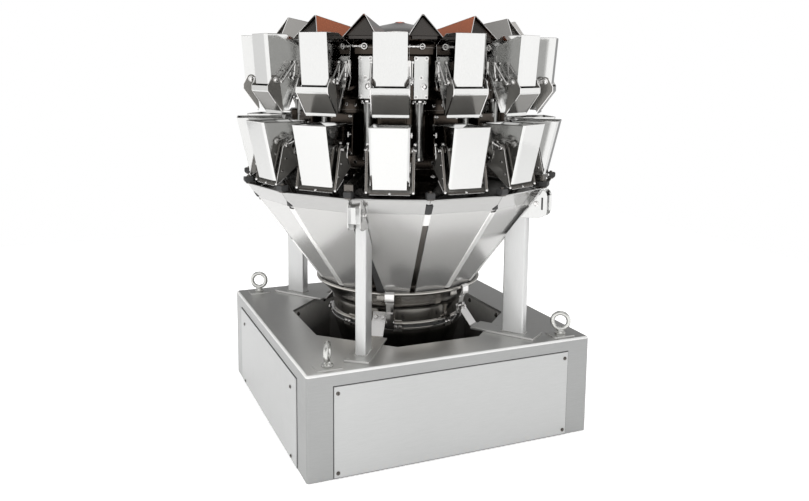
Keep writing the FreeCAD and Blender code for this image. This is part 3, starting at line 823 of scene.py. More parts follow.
br = Geo()
for s in (-1, 1):
    t0, t1 = sorted((s * 18.0, s * 21.0))
    br.join(prz([(500, 736), (560, 740), (578, 744), (590, 753), (594, 766), (594, 818), (590, 830), (582, 837),
                 (572, 837), (524, 768), (500, 743)], t0, t1, 0))
br.join(prz([(591, 766), (594, 766), (594, 818), (591, 818)], -18, 18, 0))
BR = build("chute_brackets", br, [M_MIRROR], [HM(a) for a in POSTS], swaps=("post_brackets",),
           bevel=0.9, seg=2)
bs = Geo()
for s in (-1, 1):
    bs.join(turned([(0.01, 0), (9, 0), (9, 2.2), (7, 3.2), (6.5, 3.2), (6.5, 8), (5.5, 9), (0.01, 9)],
                   (556, s * 21, 790), (0, s, 0), 24, 0))
    bs.join(boxg(574, s * 21.0 - 0.6 if s > 0 else s * 21.0 - 0.4, 770, 580, s * 21.0 + 0.4 if s > 0 else s * 21.0 + 0.6,
                 812, 1))
bs.join(cyl((556, -20, 790), (556, 20, 790), 5.5, None, 20, 0))
build("bracket_pins", bs, [M_CHROME, M_RUBBER], [HM(a) for a in POSTS])

st = Geo()
path = [(FT_IN + 12, 320), (322, 320), (318.5, 321.5), (261, 392)]
st.join(prz(bend(path, 6.0), -24, 24))
build("funnel_strap_plates", st, [M_CHROME], [HM(a) for a in POSTS], swaps=("funnel_straps",),
      bevel=1.0)
sb = Geo()
nd = Vector((70, 0, 57)).normalized()
for t in (-13, 13):
    sb.join(hexbolt((277, t, 378.5), nd, 6, 4.5, 0))
build("strap_bolts", sb, [M_CHROME], [HM(a) for a in POSTS])

# =====================================================================
# lower funnel, clamp rings, latches
# =====================================================================
fu = lathe([(293, 470.0), (296, 473.5), (301, 475), (305.5, 473), (307, 468.5), (305.0, 464.5), (301.5, 463.2),
            (297, 459.5), (262, 424), (251, 411.5), (247, 404), (246, 396), (239.5, 312), (238.2, 304), (236, 297),
            (166.5, 64), (165.0, 58), (162.0, 58), (163.5, 65), (233, 298), (235, 305), (236.4, 312),
            (242.8, 396), (244, 404.5), (248.5, 413), (259, 426), (293, 461)], 112, 0, True, True)
build("funnel_body", fu, [M_FUNNEL], swaps=("lower_funnel",), angle=50)
cr = Geo()
for z in (328.5, 344.5):
    cr.join(lathe([(243, z - 3.6), (249.5, z - 3.6), (250.6, z - 2.6), (250.6, z + 2.6), (249.5, z + 3.6),
                   (243, z + 3.6)], 112, 0, True, True))
cr.join(lathe([(241.0, 333.0), (246.0, 333.0), (246.0, 340.2), (241.0, 340.2)], 96, 1, True, True))
for k in range(8):
    M = HM(22.5 + 45 * k)
    cr.join(boxg(249, -16, 322, 257, 16, 351, 0), M)
    for t in (-8, 8):
        cr.join(capscrew((257, t, 336.5), (1, 0, 0), 4.5, 4.5, 0, 2), M)
build("clamp_rings", cr, [M_CHROME, M_RUBBER, M_DARK], swaps=("funnel_clamp_rings",))

la = Geo()
la.join(prz(bend([(309, 443), (311.5, 448), (312, 470), (308, 475.5), (303, 476.5)], 3.2), -16, 16))
la.join(prz(bend([(264, 331), (268, 334), (298.5, 437), (309, 446)], 3.2), -13, 13))
for t in (-10.5, 10.5):
    la.join(tube([(296, t, 436), (304, t, 452), (308, t, 466)], 2.2, 10, 0, 6))
la.join(cyl((309, -17, 466), (309, 17, 466), 2.6, None, 14, 0))
la.join(cyl((296, -15, 434), (296, 15, 434), 3.4, None, 16, 0))
la.join(prz([(272, 352), (279, 350), (292, 396), (286, 399)], -11, 11))
la.join(cyl((279, -14, 362), (279, 14, 362), 3.0, None, 14, 0))
build("latch_sets", la, [M_CHROME], [HM(a) for a in (-28, 28, 152, 208)], swaps=("funnel_latches",),
      bevel=0.6)

# =====================================================================
# collection chute
# =====================================================================
K = 1.0 / math.cos(math.radians(HALF))


def chute_local(r, z):
    """Outward unit normal of a chute panel in the head frame."""
    return Vector((CH_Z1 - CH_Z0, 0, -(CH_R1 - CH_R0))).normalized()


def sheet_patch(c00, c10, c11, c01, nu, nv, thick, nrm, sag=0.0, mat=0):
    """Thin sheet between four corners, with both faces and a slight sag."""
    c00, c10, c11, c01 = (Vector(c) for c in (c00, c10, c11, c01))
    nrm = Vector(nrm)
    vs, fs = [], []
    for side in (0, 1):
        for j in range(nv + 1):
            for i in range(nu + 1):
                u, v = i / nu, j / nv
                p = c00 * (1 - u) * (1 - v) + c10 * u * (1 - v) + c11 * u * v + c01 * (1 - u) * v
                p = p + nrm * (sag * math.sin(math.pi * u) * math.sin(math.pi * v) - side * thick)
                vs.append(p)
    m = (nu + 1) * (nv + 1)
    for j in range(nv):
        for i in range(nu):
            a = j * (nu + 1) + i
            q = [a, a + 1, a + nu + 2, a + nu + 1]
            fs.append(q)
            fs.append([x + m for x in q[::-1]])
    g = Geo().add(vs, fs, mat, True)
    edge = [i for i in range(nu + 1)] + [j * (nu + 1) + nu for j in range(1, nv + 1)] + \
           [nv * (nu + 1) + i for i in range(nu - 1, -1, -1)] + [j * (nu + 1) for j in range(nv - 1, 0, -1)]
    n = len(edge)
    ev = [vs[i] for i in edge] + [vs[i + m] for i in edge]
    g.add(ev, [[i, (i + 1) % n, n + (i + 1) % n, n + i] for i in range(n)], mat)
    return g


CN = chute_local(0, 0)
GAP = 10.0
ch = Geo()
for k, az in enumerate(HEADS):
    rnd = random.Random(40 + k)
    sag = rnd.uniform(-0.9, 0.9)
    zt = CH_Z1 - 0.4
    rt = chute_r(zt)
    a, b = CH_R0 * TAN - GAP, rt * TAN - GAP
    p = sheet_patch((CH_R0, -a, CH_Z0), (CH_R0, a, CH_Z0), (rt, b, zt), (rt, -b, zt), 10, 14, 2.2, CN, sag)
    ch.join(p, HM(az))
    # folded return along both side edges
    for s in (-1, 1):
        q = [Vector((CH_R0, s * a, CH_Z0)), Vector((rt, s * b, zt))]
        back = CN * -9.0
        ch.join(prism([q[0], q[1], q[1] + back, q[0] + back], (0, -s * 1.6, 0)), HM(az))
build("chute_panel_sheets", ch, [M_CHUTE], swaps=("chute_panels",), angle=35)

stp = Geo()
for k, az in enumerate(MIDS):
    za, zb = CH_Z0 + 4, CH_Z1 - 6
    ra, rb = chute_r(za) * K - 9.4, chute_r(zb) * K - 9.4
    d = (Vector((rb, 0, zb)) - Vector((ra, 0, za))).normalized()
    nn = Vector((d.z, 0, -d.x))
    stp.join(sheet_patch((ra, -17, za), (ra, 17, za), (rb, 20, zb), (rb, -20, zb), 2, 10, 2.0, nn, 0, 0), HM(az))
build("chute_joint_plates", stp, [M_STRIP], swaps=("chute_joint_strips",))

# cover strips over the joints, bent over the two neighbouring panels
cv = Geo()
for k, az in enumerate(MIDS):
    kind = JOINT_KIND[k]
    if kind == 0:
        continue
    spans = {1: ((0.03, 0.97),), 2: ((0.867, 0.995),), 3: ((0.04, 0.50), (0.60, 0.97))}[kind]
    for v0, v1 in spans:
        z0, z1 = CH_Z0 + (CH_Z1 - CH_Z0) * v0, CH_Z0 + (CH_Z1 - CH_Z0) * v1
        r0, r1 = chute_r(z0) * K - 0.6, chute_r(z1) * K - 0.6
        d = (Vector((r1, 0, z1)) - Vector((r0, 0, z0))).normalized()
        nn = Vector((d.z, 0, -d.x))
        w = 12.5
        p0, p1 = Vector((r0, 0, z0)), Vector((r1, 0, z1))
        prof = [(-w, -1.6), (-w + 3, 0.6), (0, 1.4), (w - 3, 0.6), (w, -1.6)]
        vs = [p0 + Vector((0, t, 0)) + nn * h for t, h in prof] + [p1 + Vector((0, t, 0)) + nn * h for t, h in prof]
        vs += [q - nn * 1.4 for q in vs]
        fs = [[i, i + 1, i + 6, i + 5] for i in range(4)] + [[10 + i + 1, 10 + i, 15 + i, 15 + i + 1] for i in range(4)]
        fs += [[0, 5, 15, 10], [9, 4, 14, 19]] + [[i + 1, i, 10 + i, 11 + i] for i in range(4)] + \
              [[5 + i, 6 + i, 16 + i, 15 + i] for i in range(4)]
        cv.join(Geo().add(vs, fs, 0), HM(az))
build("chute_cover_strips", cv, [M_COVER_STRIP], bevel=0.5)

# rim band: fourteen plates with folded top edge, notched at each joint
rm = Geo()
d2 = Vector((RIM_R - CH_R1, 0, RIM_Z - CH_Z1)).normalized()
RN = Vector((d2.z, 0, -d2.x))
for k, az in enumerate(HEADS):
    rnd = random.Random(90 + k)
    a, b = CH_R1 * TAN - 0.7, RIM_R * TAN - 0.7
    rm.join(sheet_patch((CH_R1, -a, CH_Z1), (CH_R1, a, CH_Z1), (RIM_R, b, RIM_Z), (RIM_R, -b, RIM_Z), 10, 4, 2.4, RN,
                        rnd.uniform(-0.5, 0.5)), HM(az))
    # rolled lip on the top edge
    rm.join(tube([(RIM_R - 1.6, -b + 0.3, RIM_Z), (RIM_R - 1.6, b - 0.3, RIM_Z)], 2.3, 10, 0), HM(az))
    # inner return below the crease
    rm.join(prism([(CH_R1 - 2.2, -a, CH_Z1 + 0.6), (CH_R1 - 2.2, a, CH_Z1 + 0.6), (CH_R1 - 10, a - 2, CH_Z1 - 10),
                   (CH_R1 - 10, -a + 2, CH_Z1 - 10)], (-1.4, 0, 0)), HM(az))
build("chute_rim_sheets", rm, [M_RIM], swaps=("chute_rim_band",), angle=35)

# dark recesses where the corners of neighbouring plates are clipped
nk = Geo()
for k, az in enumerate(MIDS):
    kind = JOINT_KIND[k]
    rc = CH_R1 * K
    if kind == 2:
        # open slot through the band
        p0 = Vector((rc + 1.0, 0, CH_Z1 + 0.5))
        p1 = Vector((RIM_R * K - 2.5, 0, RIM_Z - 8))
        dd = (p1 - p0).normalized()
        nn = Vector((dd.z, 0, -dd.x))
        v = [p0 + Vector((0, -11, 0)), p0 + Vector((0, 11, 0)), p0.lerp(p1, 0.75) + Vector((0, 11.5, 0)),
             p0.lerp(p1, 0.75) + Vector((0, -11.5, 0))]
        nk.join(prism([q + nn * 0.5 for q in v], nn * -3.0, 0), HM(az))
    else:
        p0 = Vector((rc + 0.6, 0, CH_Z1 + 0.3))
        dd = Vector((RIM_R * K - rc, 0, RIM_Z - CH_Z1)).normalized()
        nn = Vector((dd.z, 0, -dd.x))
        v = [p0 + Vector((0, -11, 0)), p0 + Vector((0, 11, 0)), p0 + dd * 22]
        nk.join(prism([q + nn * 0.45 for q in v], nn * -3.0, 0), HM(az))
# black sheet laid on the edge of the panel beside the open joint at the front left post, wider towards its foot
a0, r5 = CH_R0 * TAN - GAP, chute_r(630)
a5 = r5 * TAN - GAP
wq = [(CH_R0, -a0, 470), (CH_R0, -a0 + 28, 470), (r5, -a5 + 11, 630), (r5, -a5, 630)]
nk.join(prism([Vector(p) + CN * 1.2 for p in wq], CN * -0.8, 0), HM(HEADS[13]))
build("chute_corner_recesses", nk, [M_RUBBER])

rb = Geo()
rb.join(prz([(549, 842.2), (575, 842.2), (579.5, 849), (579.5, 861.6), (549, 861.6)], -12.6, 12.6))
build("rim_rest_pads", rb, [M_RUBBER], [HM(a) for a in MIDS], swaps=("rim_rest_blocks",),
      bevel=2.0, seg=3)
rs = Geo()
rs.join(prz([(540, 838.5), (572, 838.5), (572, 842.2), (540, 842.2)], -10, 10, 0))
rs.join(hexbolt((564, 0, 861.6), (0, 0, 1), 5.5, 4, 0))
build("rim_pad_plates", rs, [M_DARK], [HM(a) for a in MIDS], bevel=0.6)

# =====================================================================
# body: arms, drum, drive housing, feeder housing, tubes
# =====================================================================
ARM_AZ = (HALF * 3, 180 - HALF * 3, 180 + HALF * 3, 360 - HALF * 3)
ar = Geo()
ar.join(prz([(331, 866), (547, 862.6), (547, 884), (331, 930)], -15, 15))
ar.join(prz([(540, 862.4), (566, 862.4), (566, 884), (540, 884)], -15, 15))
build("support_arms", ar, [M_DARK], [HM(a) for a in ARM_AZ], swaps=("body_support_arms",),
      bevel=2.0, seg=3)


def drum(n, ap, z0, z1, start=0.0, edge=4.0, mat=0, cap_top=True, cap_bot=True):
    """Upright n-flat drum with rounded top and bottom edges."""
    g = Geo()
    rings = []
    for r, z in ((ap - edge, z0), (ap - edge * 0.3, z0 + edge * 0.3), (ap, z0 + edge), (ap, z1 - edge),
                 (ap - edge * 0.3, z1 - edge * 0.3), (ap - edge, z1)):
        rr = r / math.cos(math.pi / n)
        ring = []
        for i in range(n):
            a = math.radians(start + 360.0 / n * (i + 0.5))
            ring.append(Vector((math.sin(a) * rr, -math.cos(a) * rr, z)))
        rings.append(ring)
    for a, b in zip(rings, rings[1:]):
        g.add(a + b, [[i, (i + 1) % n, n + (i + 1) % n, n + i] for i in range(n)], mat)
    if cap_bot:
        g.add(rings[0], [list(range(n))[::-1]], mat)
    if cap_top:
        g.add(rings[-1], [list(range(n))], mat)
    return g


dm = Geo()
dm.join(drum(14, 330, 860, 1136, HALF))
dm.join(lathe([(0.01, 770), (166, 770), (170, 772.5), (299, 858), (300, 861)], 96, 0))
# dividing seams round the drum
for z in (905, 1100):
    dm.join(drum(14, 331.2, z - 1.4, z + 1.4, HALF, 0.5, 1))
for az in MIDS:
    M = HM(az)
    for z in (880, 925, 1080, 1118):
        for t in (-58, 58):
            dm.join(capscrew((330, t, z), (1, 0, 0), 4.5, 4, 2, 1), M)
for az in HEADS:
    M = HM(az)
    dm.join(prz([(318, 872), (326.5, 872), (326.5, 1124), (318, 1124)], -7, 7, 1), M)
build("drum_body", dm, [M_BODY, M_DARK, M_CHROME], swaps=("body_drum",), bevel=None, angle=25)

dh = Geo()
dh.join(drum(14, 392, 1136.4, 1280, HALF, 3.0))
build("drive_ring_body", dh, [M_BODY], swaps=("drive_housing",), bevel=None, angle=25)

cvp = Geo()
cvp.join(boxg(392.2, -24, 1140, 401.6, 24, 1276, 0))
cv2 = Geo()
for t, z in ((-17, 1147), (17, 1147), (-17, 1269), (17, 1269), (0, 1208)):
    cv2.join(capscrew((401.6, t, z), (1, 0, 0), 4.6, 4.2, 0, 1))
cv2.join(turned([(0.01, 0), (10, 0), (10, 1.6), (7.5, 2.6), (0.01, 2.6)], (401.6, 9, 1180), (1, 0, 0), 28, 0))
cv2.join(turned([(0.01, 0), (6, 0), (6, 7), (4.5, 8), (0.01, 8)], (401.6, 9, 1180), (1, 0, 0), 20, 0))
build("drive_cover_plates", cvp, [M_COVER], [HM(a) for a in MIDS], bevel=1.6, seg=3)
build("drive_cover_screws", cv2, [M_CHROME, M_DARK], [HM(a) for a in MIDS])

fh = Geo()
fh.join(lathe([(0.01, 1280.6), (404, 1280.6), (407.6, 1282.5), (407.9, 1286), (407.9, 1312), (404, 1319.5), (396, 1323.4),
               (150, 1324.6), (149.8, 1353), (146, 1359), (0.01, 1359)], 112, 0))
fh.join(lathe([(408.2, 1301), (409.4, 1302), (409.4, 1305), (408.2, 1306)], 112, 1))
build("feeder_base_body", fh, [M_BODY, M_DARK], swaps=("feeder_housing",), angle=40)

# vibrator of each pan: block and leaf springs below the pan's floor, seen between the pans
vb = Geo()
vb.join(boxg(300, -32, 1325.5, 372, 32, 1328.5, 0))
for r in (306, 362):
    vb.join(prz([(r, 1326), (r + 3, 1326), (r - 1, 1334.5), (r - 4, 1334.5)], -26, 26, 1))
build("pan_springs", vb, [M_DARK, M_CHROME], [HM(a) for a in HEADS], bevel=0.5)

# thumb screw rods that hold the pans, one between each pair of heads
ts = Geo()
ts.join(cyl((412, 4, 1307), (412, -44, 1307), 3.2, None, 16, 0))
ts.join(cyl((412, -22, 1307), (412, -34, 1307), 5.0, None, 20, 0, True, 1.0))
ts.join(torus((414, 0, 1307), (1, 0.25, 0), 8.6, 2.6, 36, 12, 0))
ts.join(cyl((403, -40, 1307), (413, -40, 1307), 4.0, None, 16, 0))
ts.join(cyl((403, -14, 1307), (413, -14, 1307), 4.0, None, 16, 0))
build("pan_lock_rods", ts, [M_CHROME], [HM(a) for a in MIDS])

# hanger tubes with flanges and bolts
ht = Geo()
ht.join(turned([(0.01, 0), (14.0, 0), (14.5, 1.0), (14.5, 196), (14.5, 199.5)], (372, 0, 936), (0, 0, 1), 36, 0))
ht.join(turned([(14.5, 0), (24, 0), (25, 1), (25, 6), (24, 7), (14.5, 7)], (372, 0, 1128), (0, 0, 1), 36, 1))
ht.join(turned([(14.5, 0), (17, 0), (17, 8), (14.5, 8)], (372, 0, 940), (0, 0, 1), 36, 1))
for k in range(6):
    a = math.radians(60 * k + 30)
    ht.join(hexbolt((372 + 20 * math.cos(a), 20 * math.sin(a), 1128), (0, 0, -1), 3.6, 3.0, 1))
build("hanger_tube_set", ht, [M_TUBE, M_CHROME], [HM(a) for a in MIDS], swaps=("hanger_tubes",))

# load cell boxes behind the weigh hoppers, with their hooks
lc = Geo()
lc.join(boxg(339, -44, 952, 396, 44, 1092, 0))
build("load_cell_boxes", lc, [M_BODY], [HM(a) for a in HEADS], bevel=5.0, seg=3)
lh = Geo()
for t in (-36, 36):
    for z in (962, 1082):
        lh.join(capscrew((396, t, z), (1, 0, 0), 4.4, 4, 0, 1))
lh.join(turned([(0.01, 0), (26, 0), (26, 3), (23, 5), (20, 5), (18, 8), (0.01, 8)], (396, 0, 1020), (1, 0, 0), 40, 1))
for s in (-1, 1):
    lh.join(prz([(396, 1040), (421, 1040), (421, 1047), (416, 1047), (412, 1058), (396, 1058)], s * 30 - 3, s * 30 + 3, 0))
lh.join(cyl((417, -40, 1045), (417, 40, 1045), 3.6, None, 16, 0))
for s in (-1, 1):
    lh.join(prz([(396, 968), (419, 968), (419, 974), (396, 978)], s * 30 - 3, s * 30 + 3, 0))
build("weigh_hopper_hooks", lh, [M_CHROME, M_DARK], [HM(a) for a in HEADS], bevel=0.4)

# pool hopper hooks on the drive housing
ph = Geo()
for s in (-1, 1):
    ph.join(prz([(392.5, 1234), (419, 1234), (419, 1241), (412, 1244), (410, 1262), (392.5, 1262)], s * 34 - 3,
                s * 34 + 3, 0))
    ph.join(prz([(392.5, 1166), (436, 1166), (436, 1172), (392.5, 1178)], s * 34 - 3, s * 34 + 3, 0))
ph.join(cyl((414.5, -44, 1242), (414.5, 44, 1242), 3.6, None, 16, 0))
ph.join(turned([(0.01, 0), (21, 0), (21, 4), (17, 6), (0.01, 6)], (392.5, 0, 1200), (1, 0, 0), 36, 1))
ph.join(prz([(398, 1192), (430, 1196), (440, 1203), (440, 1210), (428, 1206), (398, 1204)], -4, 4, 0))
ph.join(cyl((436, -12, 1206), (436, 12, 1206), 6.5, None, 20, 1, True, 1.0))
build("pool_hopper_hooks", ph, [M_CHROME, M_DARK], [HM(a) for a in HEADS], bevel=0.4)

# =====================================================================
# hoppers
# =====================================================================
def sheet_faces(quads, mat=0):
    g = Geo()
    for q in quads:
        g.add(q, [list(range(len(q)))], mat)
    return g


CHF = 9.5
po = Geo()
rt_, rb_ = 568.0 - 0.5, 556.0 - 0.5
F = [(-52 + CHF), (52 - CHF)]
po.join(sheet_faces([[(rt_, F[0], 1344.5), (rb_, F[0], 1184), (rb_, F[1], 1184), (rt_, F[1], 1344.5)]]))
for s in (-1, 1):
    a, b = s * (52 - CHF), s * 52
    q = [(rt_, a, 1344.5), (rt_ - CHF, b, 1344.5), (rb_ - CHF, b, 1184), (rb_, a, 1184)]
    po.join(sheet_faces([q if s > 0 else q[::-1]]))
    side = [(rt_ - CHF, b, 1344.5), (492, b, 1344.5), (422, b, 1312), (426, b, 1240), (486, b, 1098.5),
            (500, b, 1098.5), (545, b, 1168), (rb_ - CHF, b, 1184)]
    po.join(sheet_faces([side if s > 0 else side[::-1]]))
po.join(sheet_faces([[(422, 52, 1312), (422, -52, 1312), (426, -52, 1240), (426, 52, 1240)],
                     [(426, 52, 1240), (426, -52, 1240), (486, -52, 1098.5), (486, 52, 1098.5)]]))
build("pool_hopper_shells", po, [M_MIRROR], [HM(a) for a in HEADS], swaps=("pool_hoppers",),
      solid=(1.8, -1), angle=20)

# hems, hinge bosses and stiffening strips of the pool hoppers
pt = Geo()
pt.join(tube([(rt_ - 1.0, F[0], 1344.2), (rt_ - 1.0, F[1], 1344.2)], 1.35, 8, 0))
for s in (-1, 1):
    a, b = s * (52 - CHF), s * 52
    pt.join(tube([(rt_ - 1.0, a, 1344.2), (rt_ - CHF - 0.5, s * 51.2, 1344.2), (492, s * 51.2, 1344.2),
                  (423, s * 51.2, 1312), (426.6, s * 51.2, 1240)], 1.35, 8, 0))
    # turned bottom edge of the front plate
    pt.join(tube([(rb_ - 1.0, a, 1184.4), (rb_ - CHF - 0.5, s * 51.2, 1184.4)], 1.2, 8, 0))
    # boss and washer of the gate hinge
    pt.join(turned([(0.01, 0), (15, 0), (15, 1.4), (12, 2.2), (8.5, 2.4), (8.5, 4.6), (0.01, 4.6)], (535, s * 52, 1197),
                   (0, s, 0), 32, 1))
    # back flange with its bright edge and screws
    pt.join(prz([(424.6, 1196), (437, 1168), (441, 1170), (430, 1199), (430, 1262), (424.6, 1262)], s * 52.1, s * 54.6, 0))
    pt.join(prz([(428.6, 1200), (431.4, 1199.6), (431.4, 1261), (428.6, 1261)], s * 52.1, s * 57.8, 0))
    for z in (1210, 1250):
        pt.join(capscrew((427, s * 54.6, z), (0, s, 0), 2.6, 2.4, 0, 1))
    # stiffening rib on the side wall
    pt.join(prz([(486, 1112), (489, 1112), (433, 1243), (430, 1243)], s * 52.0, s * 53.4, 0))
pt.join(tube([(rb_ - 1.0, F[0], 1184.4), (rb_ - 1.0, F[1], 1184.4)], 1.2, 8, 0))
build("pool_hopper_trim", pt, [M_CHROME, M_DARK], [HM(a) for a in HEADS])

WH_T, WH_B = (588.0 - 0.5, 1061.0), (545.0 - 0.5, 868.0)
CW = 6.5


def wt(z):
    return 59.0 + (z - 868.0) * 4.0 / 193.0


wo = Geo()
q = [(WH_T[0], -(63 - CW), 1060.6), (WH_B[0], -(59 - CW), 868), (WH_B[0], 59 - CW, 868), (WH_T[0], 63 - CW, 1060.6)]
wo.join(sheet_faces([q]))
for s in (-1, 1):
    q = [(WH_T[0], s * (63 - CW), 1060.6), (WH_T[0] - CW, s * 63, 1060.6), (WH_B[0] - CW, s * 59, 868),
         (WH_B[0], s * (59 - CW), 868)]
    wo.join(sheet_faces([q if s > 0 else q[::-1]]))
    side = [(WH_T[0] - CW, s * 63, 1060.6), (425.5, s * 63, 1060.6), (455.3, s * wt(937), 937), (538, s * 59, 870),
            (WH_B[0] - CW, s * 59, 868)]
    wo.join(sheet_faces([side if s > 0 else side[::-1]]))
wo.join(sheet_faces([[(425.5, 63, 1060.6), (425.5, -63, 1060.6), (455.3, -wt(937), 937), (455.3, wt(937), 937)]]))
build("weigh_hopper_shells", wo, [M_MIRROR], [HM(a) for a in HEADS], swaps=("weigh_hoppers",),
      solid=(1.8, -1), angle=12)

wtg = Geo()
wtg.join(tube([(WH_T[0] - 1.0, -(63 - CW), 1060.2), (WH_T[0] - 1.0, 63 - CW, 1060.2)], 1.5, 8, 0))
for s in (-1, 1):
    wtg.join(tube([(WH_T[0] - 1.0, s * (63 - CW), 1060.2), (WH_T[0] - CW - 0.6, s * 62.2, 1060.2),
                   (427, s * 62.2, 1060.2)], 1.5, 8, 0))
    wz = wt(985)
    wtg.join(turned([(0.01, 0), (13, 0), (13, 1.4), (8, 2.4), (8, wz * 0 + 4.6), (0.01, 4.6)], (505, s * wz, 985),
                    (0, s, 0), 32, 1))
    # angled rib following the lower edge
    wtg.join(prism([(462, s * 61.0, 941), (466, s * 61.0, 946), (541, s * 59.6, 885), (538, s * 59.6, 879)],
                   (0, s * 1.6, 0), 0))
    wtg.join(prz([(436, 1020), (452, 1020), (452, 1036), (436, 1036)], s * 62.6, s * 64.4, 0))
    for r_ in (440, 448):
        wtg.join(capscrew((r_, s * 64.4, 1028), (0, s, 0), 2.4, 2.2, 0, 1))
wtg.join(tube([(427, -61, 1060.2), (427, 61, 1060.2)], 1.5, 8, 0))
build("weigh_hopper_trim", wtg, [M_CHROME, M_DARK], [HM(a) for a in HEADS])

pn = Geo()
for s in (-1, 1):
    pn.join(cyl((535, s * 52.3, 1197), (535, s * 56.8, 1197), 5.0, None, 20, 0))
    pn.join(cyl((505, s * 61.8, 985), (505, s * 68.3, 985), 5.0, None, 20, 0))
build("hinge_pin_set", pn, [M_CHROME], [HM(a) for a in HEADS], swaps=("gate_pins",))

# =====================================================================
# gates
# =====================================================================
def pool_gate():
    g = Geo()
    # top band: shallow channel, wider than the plate
    g.join(prz(bend([(556.5, 1177.4), (562.6, 1177.4), (562.6, 1163), (559.5, 1158.6)], 1.6), -59.6, 59.6, 0))
    # slanted plate and its turned foot
    g.join(prz(bend([(561.2, 1162), (512.6, 1094.2)], 1.8), -56.6, 56.6, 1))
    g.join(prz(bend([(516.6, 1101.6), (514.6, 1099.4), (513.4, 1087.0)], 1.8), -56.6, 56.6, 0))
    g.join(cyl((513.2, -56.6, 1087.4), (513.2, 56.6, 1087.4), 1.5, None, 10, 0))
    arm = [(522, 1204), (530, 1211), (541, 1211), (549, 1204), (563.4, 1178), (563.4, 1162), (512.6, 1091), (508, 1095)]
    ring = fillet([(r, 0, z) for r, z in arm + arm[:1]], 5, 3)[:-1]
    ring = [(p.x, p.z) for p in ring]
    for s in (-1, 1):
        t0, t1 = sorted((s * 57.1, s * 59.9))
        g.join(prz(ring, t0, t1, 1))
        # bright flange along the front edge of the arm
        g.join(prz([(547.0, 1205), (549.4, 1205.6), (563.8, 1179), (563.8, 1162), (513.4, 1091.6), (511.0, 1093.6),
                    (561.2, 1163.4), (561.2, 1178)], s * 58.5 - 1.7, s * 58.5 + 2.6 * s * 0 + 1.7, 2))
        # knob of the hinge
        g.join(turned([(0.01, 0), (10, 0), (10, 1.6), (5.5, 2.2), (5.5, 4.0), (7.6, 4.8), (8.0, 6.4), (7.0, 9.0),
                       (4.0, 10), (0.01, 10)], (535, s * 60, 1197), (0, s, 0), 24, 2))
        # toggle lever: two legs that meet above and behind the hinge
        A, B, Cc = Vector((466, s * 64, 1256)), Vector((514, s * 64, 1192)), Vector((471, s * 64, 1204))
        g.join(tube([B, A], 2.9, 10, 2))
        g.join(tube([A + Vector((-1, 0, 0)), Cc], 2.6, 10, 2))
        g.join(tube([A.lerp(B, 0.42), A.lerp(Cc, 0.62)], 2.2, 8, 2))
        g.join(cyl(A + Vector((0, -s * 3.5, 0)), A + Vector((0, s * 4.5, 0)), 5.0, None, 16, 2, True, 0.8))
        g.join(cyl(Cc + Vector((0, -s * 3.5, 0)), Cc + Vector((0, s * 5.5, 0)), 7.0, None, 20, 2, True, 1.0))
        g.join(cyl(Cc + Vector((0, s * 5.5, 0)), Cc + Vector((0, s * 6.5, 0)), 3.0, None, 12, 3))
        g.join(prz([(510, 1186), (528, 1188), (533, 1200), (526, 1203), (511, 1197)], s * 62.2 - 1.8, s * 62.2 + 1.8, 2))
        g.join(cyl(B + Vector((0, -s * 5, 0)), B + Vector((0, s * 4, 0)), 5.2, None, 18, 2, True, 0.8))
    return g


def weigh_gate():
    g = Geo()
    g.join(prz(bend([(450.6, 927.6), (542.0, 857.0)], 2.0), -71.0, 71.0, 1))
    g.join(prz(bend([(541.6, 858.4), (546.4, 851.6)], 1.8), -63.0, 63.0, 3))
    g.join(cyl((546.0, -63.0, 852.2), (546.0, 63.0, 852.2), 1.0, None, 10, 0))
    g.join(turned([(0.01, 0), (4.6, 0), (4.2, 2.2), (2.4, 3.4), (0.01, 3.6)], (544.8, 0, 856.0), (0.82, 0, 0.57), 20, 2))
    arm = [(492, 990), (500, 998), (510, 998), (518, 990), (545.6, 858), (542.6, 855.6), (451, 925.4), (449.4, 928)]
    ring = [(p.x, p.z) for p in fillet([(r, 0, z) for r, z in arm + arm[:1]], 5, 3)[:-1]]
    for s in (-1, 1):
        t0, t1 = sorted((s * 68.6, s * 71.4))
        g.join(prz(ring, t0, t1, 1))
        # flange turned outward along the front edge, ending in a rounded corner
        fl = [(517.0, 986), (519.4, 986.5), (546.6, 862), (546.6, 858), (544.2, 857.4), (543.4, 861)]
        u0, u1 = sorted((s * 71.0, s * 76.0))
        g.join(prz(fl, u0, u1, 3))
        g.join(tube([(518.6, s * 75.6, 985), (545.8, s * 75.6, 861)], 1.0, 8, 2))
        lo = [(543, 856.2), (544.4, 854.4), (500, 888.3), (498.8, 890.0)]
        g.join(prz(lo, u0, u1, 3))
        g.join(tube([(543.6, s * 75.6, 856.0), (499.4, s * 75.6, 889.6)], 0.9, 8, 2))
        g.join(ball((543.6, s * 73.0, 858.8), 5.4, 2, 18))
        g.join(turned([(0.01, 0), (9.5, 0), (9.5, 1.6), (4.8, 2.2), (4.8, 6.5), (6.4, 7.0), (6.8, 8.4), (5.5, 9.8),
                       (0.01, 10)], (505, s * 71.5, 985), (0, s, 0), 24, 2))
        # latch lever behind the arm
        A, B = Vector((470, s * 74, 1000)), Vector((505, s * 74, 985))
        g.join(tube([B, A], 2.6, 10, 2))
        g.join(cyl(A + Vector((0, -s * 3.5, 0)), A + Vector((0, s * 5.0, 0)), 6.0, None, 18, 2, True, 0.8))
        g.join(tube([A, (478, s * 74, 962), (462, s * 71.5, 934)], 2.0, 8, 2, 8))
        for r_, z_ in ((508, 940), (522, 900)):
            g.join(capscrew((r_, s * 71.4, z_), (0, s, 0), 2.8, 2.4, 2, 3))
    return g


